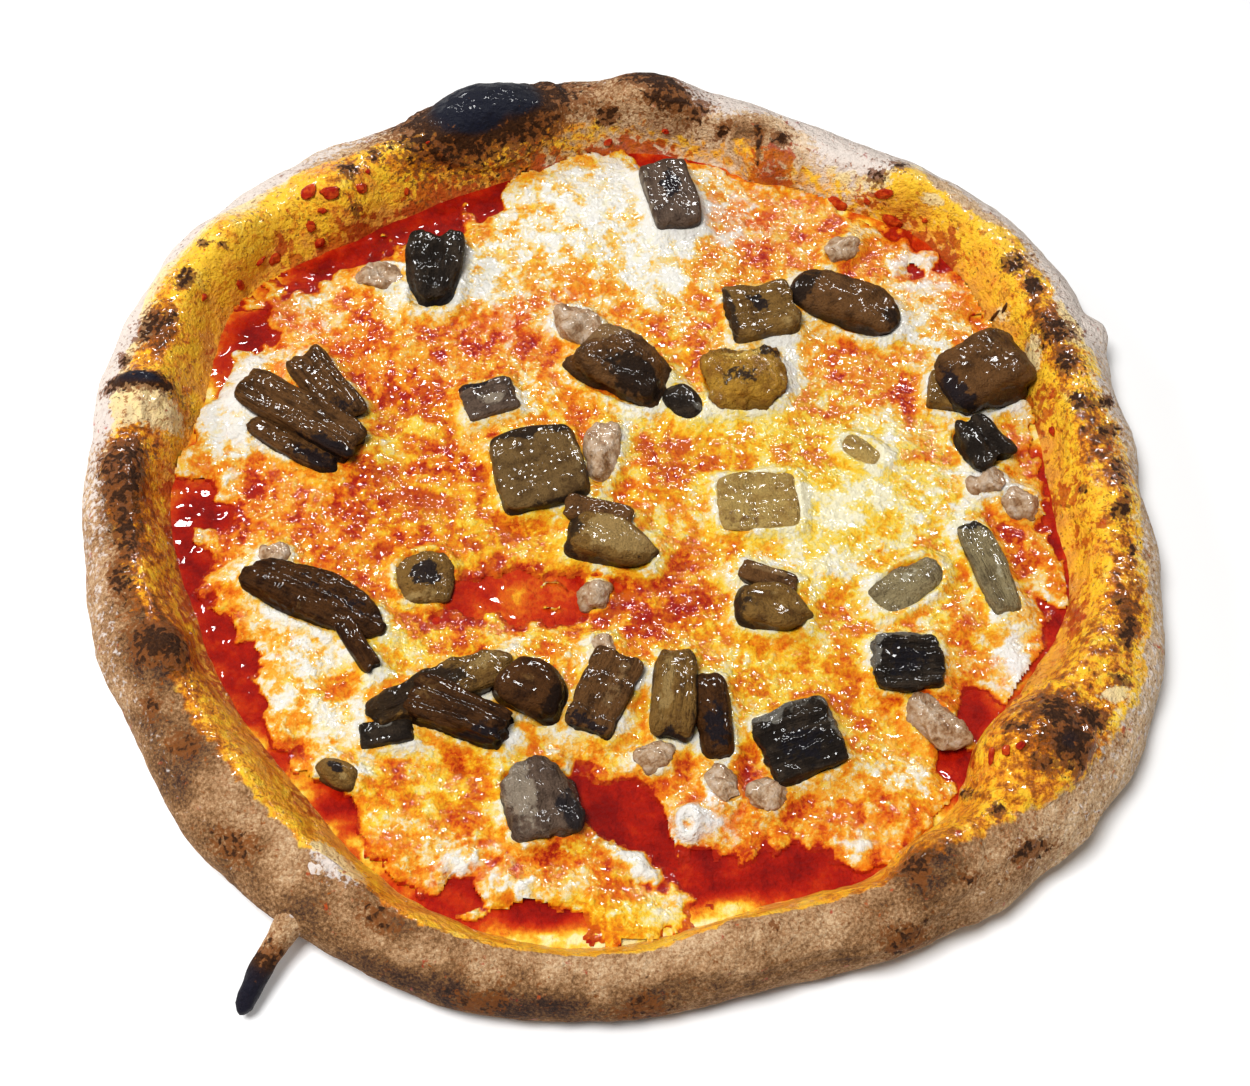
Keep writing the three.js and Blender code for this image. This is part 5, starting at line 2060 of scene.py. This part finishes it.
class Toppings:
    """The porcini and the sausage."""

    CLING, TUCK = 1.9, 1.1  # how far the cheese clings to a piece outside its outline, and under it
    BURNT = (0.012, 0.010, 0.014)
    MEAT = Look(0.0, 1.1, 0.5, 0.5)

    def __init__(self, effects: Effects) -> None:
        """Takes the shared shader effects."""
        self.effects = effects
        self.slices = [
            Slice(f"porcini_{name}", piece, LOOKS[name], k) for k, (name, piece) in enumerate(PORCINI.items())
        ]
        self.crumbs = [
            Slice(f"sausage_crumb_{name}", piece, self.MEAT, k)
            for k, (name, piece) in enumerate(SAUSAGE.items(), start=len(self.slices))
        ]

    def near(self, x: np.ndarray, y: np.ndarray) -> np.ndarray:
        """1 at the outline of a piece, falling to 0 outside it within the cheese's cling and under it."""
        total = np.zeros_like(x)
        for piece in self.slices + self.crumbs:
            close = np.hypot(x - piece.piece.x, y - piece.piece.y) < piece.piece.length
            outline = piece.clearance(x[close], y[close])
            reach = np.where(outline > 0, self.CLING, self.TUCK)
            total[close] = np.maximum(total[close], np.exp(-((outline / reach) ** 2)))
        return total

    def _porcini_material(self, name: str, tone: Tone) -> Material:
        """Wet mushroom flesh with fibres, darker skin, pale and burnt places, darker edges, painted shade on
        the sides and underside, and small pale specks that are painted glints.

        Args:
            name: its name.
            tone: its colours.

        Returns:
            The material.
        """
        made = Material(f"{name} porcini", tone.gloss)
        g = made.graph
        place = g.vector("grain")
        fibres = g.times(g.use(self.effects.fibres, place=place, width=1.0), g.value("fibrous"))
        blotch = g.noise(place, 5.0, detail=5, rough=0.6)
        fine = g.noise(place, 0.7, detail=3, rough=0.6)
        streaks = g.add(0.40, g.times(fibres, 0.28), g.times(blotch, 0.34), g.times(fine, 0.10))
        color = g.mix(g.step(streaks, 0.25, 0.7), tone.flesh, tone.streak)
        for stain, size, raggedness, strength, tint in (
            (Stain.PALE, 2.2, 0.25, 0.8, tone.pale),
            (Stain.SKIN, 2.2, 0.22, 0.9, tone.skin),
            (Stain.BURN, 1.8, 0.3, 0.92, self.BURNT),
        ):
            mask = g.value(stain.value)
            mask = g.use(self.effects.ragged, mask=mask, place=place, size=size, raggedness=raggedness)
            color = g.mix(g.times(mask, strength), color, tint)
        # Painted shade: the sides and underside darkened towards the skin colour.
        color = g.mix(g.times(g.value("under"), 0.7), color, tone.skin)
        # Darker along the slice's edges, broken up by the blotches.
        darker_edges = g.times(g.value("edge"), g.step(blotch, -0.5, 0.6))
        color = g.mix(g.times(darker_edges, 0.6), color, tone.streak)
        # Small pale specks: painted glints, in the flesh's pale colour.
        specks = g.use(self.effects.flecks, place=place, size=0.9, cover=0.1)
        color = g.mix(g.times(specks, 0.3), color, tone.pale)
        pits = g.use(self.effects.flecks, place=place, size=1.4, cover=0.08)
        made.color(g.mix(g.times(pits, 0.7), color, tone.skin))
        made.relief(g.add(g.times(fibres, 0.9), g.times(fine, 0.4), g.times(blotch, 0.4)), 0.9)
        made.wet(place, 2.0, 0.11)
        return made

    def _sausage_material(self) -> Material:
        """Cooked meat: grey pink with fat, brown between the lumps, and painted shade darkening its underside.

        Returns:
            The material.
        """
        made = Material("sausage", Gloss(0.55, coat=0.5, coat_roughness=0.06))
        g = made.graph
        place = g.vector("grain")
        blotch = g.noise(place, 3.2, detail=4, bend=0.5)
        fine = g.noise(place, 0.9, detail=3)
        level = g.add(0.5, g.times(blotch, 0.38), g.times(fine, 0.18))
        color = g.ramp(level, [
            (0.0, (0.09, 0.035, 0.012)), (0.25, (0.26, 0.13, 0.055)), (0.5, (0.44, 0.29, 0.17)),
            (0.75, (0.54, 0.41, 0.30)), (1.0, (0.66, 0.55, 0.43)),
        ])
        # Painted shade: the underside darkened towards a deep brown.
        made.color(g.mix(g.times(g.value("under"), 0.6), color, (0.20, 0.08, 0.02)))
        made.relief(g.add(g.times(blotch, 0.6), g.times(fine, 0.4)), 0.4)
        made.wet(place, 2.8, 0.17)
        return made

    def build(self) -> list[bpy.types.Object]:
        """Builds and dresses all pieces.

        Returns:
            The objects.
        """
        built = []
        materials = {name: self._porcini_material(name, tone) for name, tone in TONES.items()}
        for piece in self.slices:
            made = piece.shape().object(piece.name + "_looks")
            materials[piece.piece.tone].dress(made)
            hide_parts(piece.name)
            built.append(made)
        meat = self._sausage_material()
        for piece in self.crumbs:
            made = piece.shape().object(piece.name + "_looks")
            meat.dress(made)
            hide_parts(piece.name)
            built.append(made)
        return built


# -------- The scene --------


@dataclass(frozen=True)
class Lamp:
    """A rectangular light: where it stands, what it looks at, its size and power, and whether it
    is a glint, which only wet surfaces mirror, or a soft light that they don't."""

    name: str
    at: tuple[float, float, float]
    target: tuple[float, float, float]
    size: tuple[float, float]
    watts: float
    glint: bool = False


class Studio:
    """A pale floor, soft lights and a camera that looks down at the pizza from the front."""

    LAMPS = (
        Lamp("top", (-350, -260, 1500), (0, 0, 0), (560, 560), 25.5),
        Lamp("side", (-900, 400, 600), (0, 0, 0), (500, 300), 4.5),
        Lamp("glint left", (-420, 640, 680), (0, 0, 0), (170, 80), 4.0, glint=True),
        Lamp("glint middle", (80, 740, 700), (0, 0, 0), (200, 80), 4.6, glint=True),
        Lamp("glint right", (480, 600, 680), (0, 0, 0), (170, 80), 4.0, glint=True),
    )
    CAMERA_ELEVATION, CAMERA_DISTANCE, CAMERA_TARGET = 60.0, 620.0, (1.0, -11.0, 0.0)
    LENS_MM, SENSOR_MM = 59.04, 36.0
    FLOOR_SIZE, FLOOR_DROP = 8000.0, 0.4
    WORLD = (1.0, 0.97, 0.93)
    WORLD_STRENGTH = 0.16

    def _floor(self) -> None:
        """A wide plane just under the pizza, near white."""
        half = self.FLOOR_SIZE / 2
        points = np.array([[-half, -half, 0], [half, -half, 0], [half, half, 0], [-half, half, 0]], float)
        points[:, 2] = -self.FLOOR_DROP
        floor = Shape(points, [np.array([[0, 1, 2, 3]])]).object("floor")
        paint = Material("floor", Gloss(0.9))
        paint.color((0.94, 0.94, 0.94))
        paint.dress(floor)

    def _lamp(self, lamp: Lamp) -> None:
        """Puts up a light. A glint lights only what mirrors it, and a soft light all the rest.

        Args:
            lamp: its place, size and light.
        """
        light = bpy.data.lights.new(lamp.name, "AREA")
        light.shape = "RECTANGLE"
        light.size, light.size_y = (side * MM for side in lamp.size)
        light.energy = lamp.watts
        made = bpy.data.objects.new(lamp.name, light)
        made.visible_glossy, made.visible_diffuse = lamp.glint, not lamp.glint
        self._aim(made, lamp.at, lamp.target)

    @staticmethod
    def _aim(made: bpy.types.Object, at: Sequence[float], target: Sequence[float]) -> None:
        """Puts an object at a place, its -Z towards the target.

        Args:
            made: a lamp or camera.
            at: its place.
            target: what it looks at.
        """
        spot, goal = np.array(at) * MM, np.array(target) * MM
        made.location = spot
        made.rotation_euler = Vector(goal - spot).to_track_quat("-Z", "Y").to_euler()
        bpy.context.scene.collection.objects.link(made)

    def _camera(self) -> None:
        """A camera in front of the pizza that looks down at it."""
        lens = bpy.data.cameras.new("camera")
        lens.lens, lens.sensor_width, lens.clip_start = self.LENS_MM, self.SENSOR_MM, 0.01
        made = bpy.data.objects.new("camera", lens)
        tilt = np.radians(self.CAMERA_ELEVATION)
        back = np.array([0, -np.cos(tilt), np.sin(tilt)]) * self.CAMERA_DISTANCE
        self._aim(made, np.array(self.CAMERA_TARGET) + back, self.CAMERA_TARGET)
        bpy.context.scene.camera = made

    def build(self) -> None:
        """Sets up the floor, the lights, the camera and the surrounding light."""
        self._floor()
        for lamp in self.LAMPS:
            self._lamp(lamp)
        self._camera()
        world = bpy.data.worlds.new("studio")
        world.use_nodes = True
        background = world.node_tree.nodes["Background"]
        background.inputs["Color"].default_value = (*self.WORLD, 1.0)
        background.inputs["Strength"].default_value = self.WORLD_STRENGTH
        bpy.context.scene.world = world
        bpy.context.scene.view_settings.view_transform = "Standard"


def main() -> None:
    """Builds the pizza and the studio."""
    logging.basicConfig(level=logging.INFO, format="%(message)s")
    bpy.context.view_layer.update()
    effects = Effects()
    toppings = Toppings(effects)
    pieces = [Crust(effects).build(), Sauce(effects).build(), Cheese(effects, toppings.near).build()]
    pieces += Scraps(effects).build() + toppings.build()
    for piece in pieces:
        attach(piece, "root")
        LOG.info("%s: %d faces", piece.name, len(piece.data.polygons))
    Studio().build()


if __name__ == "__main__":
    main()
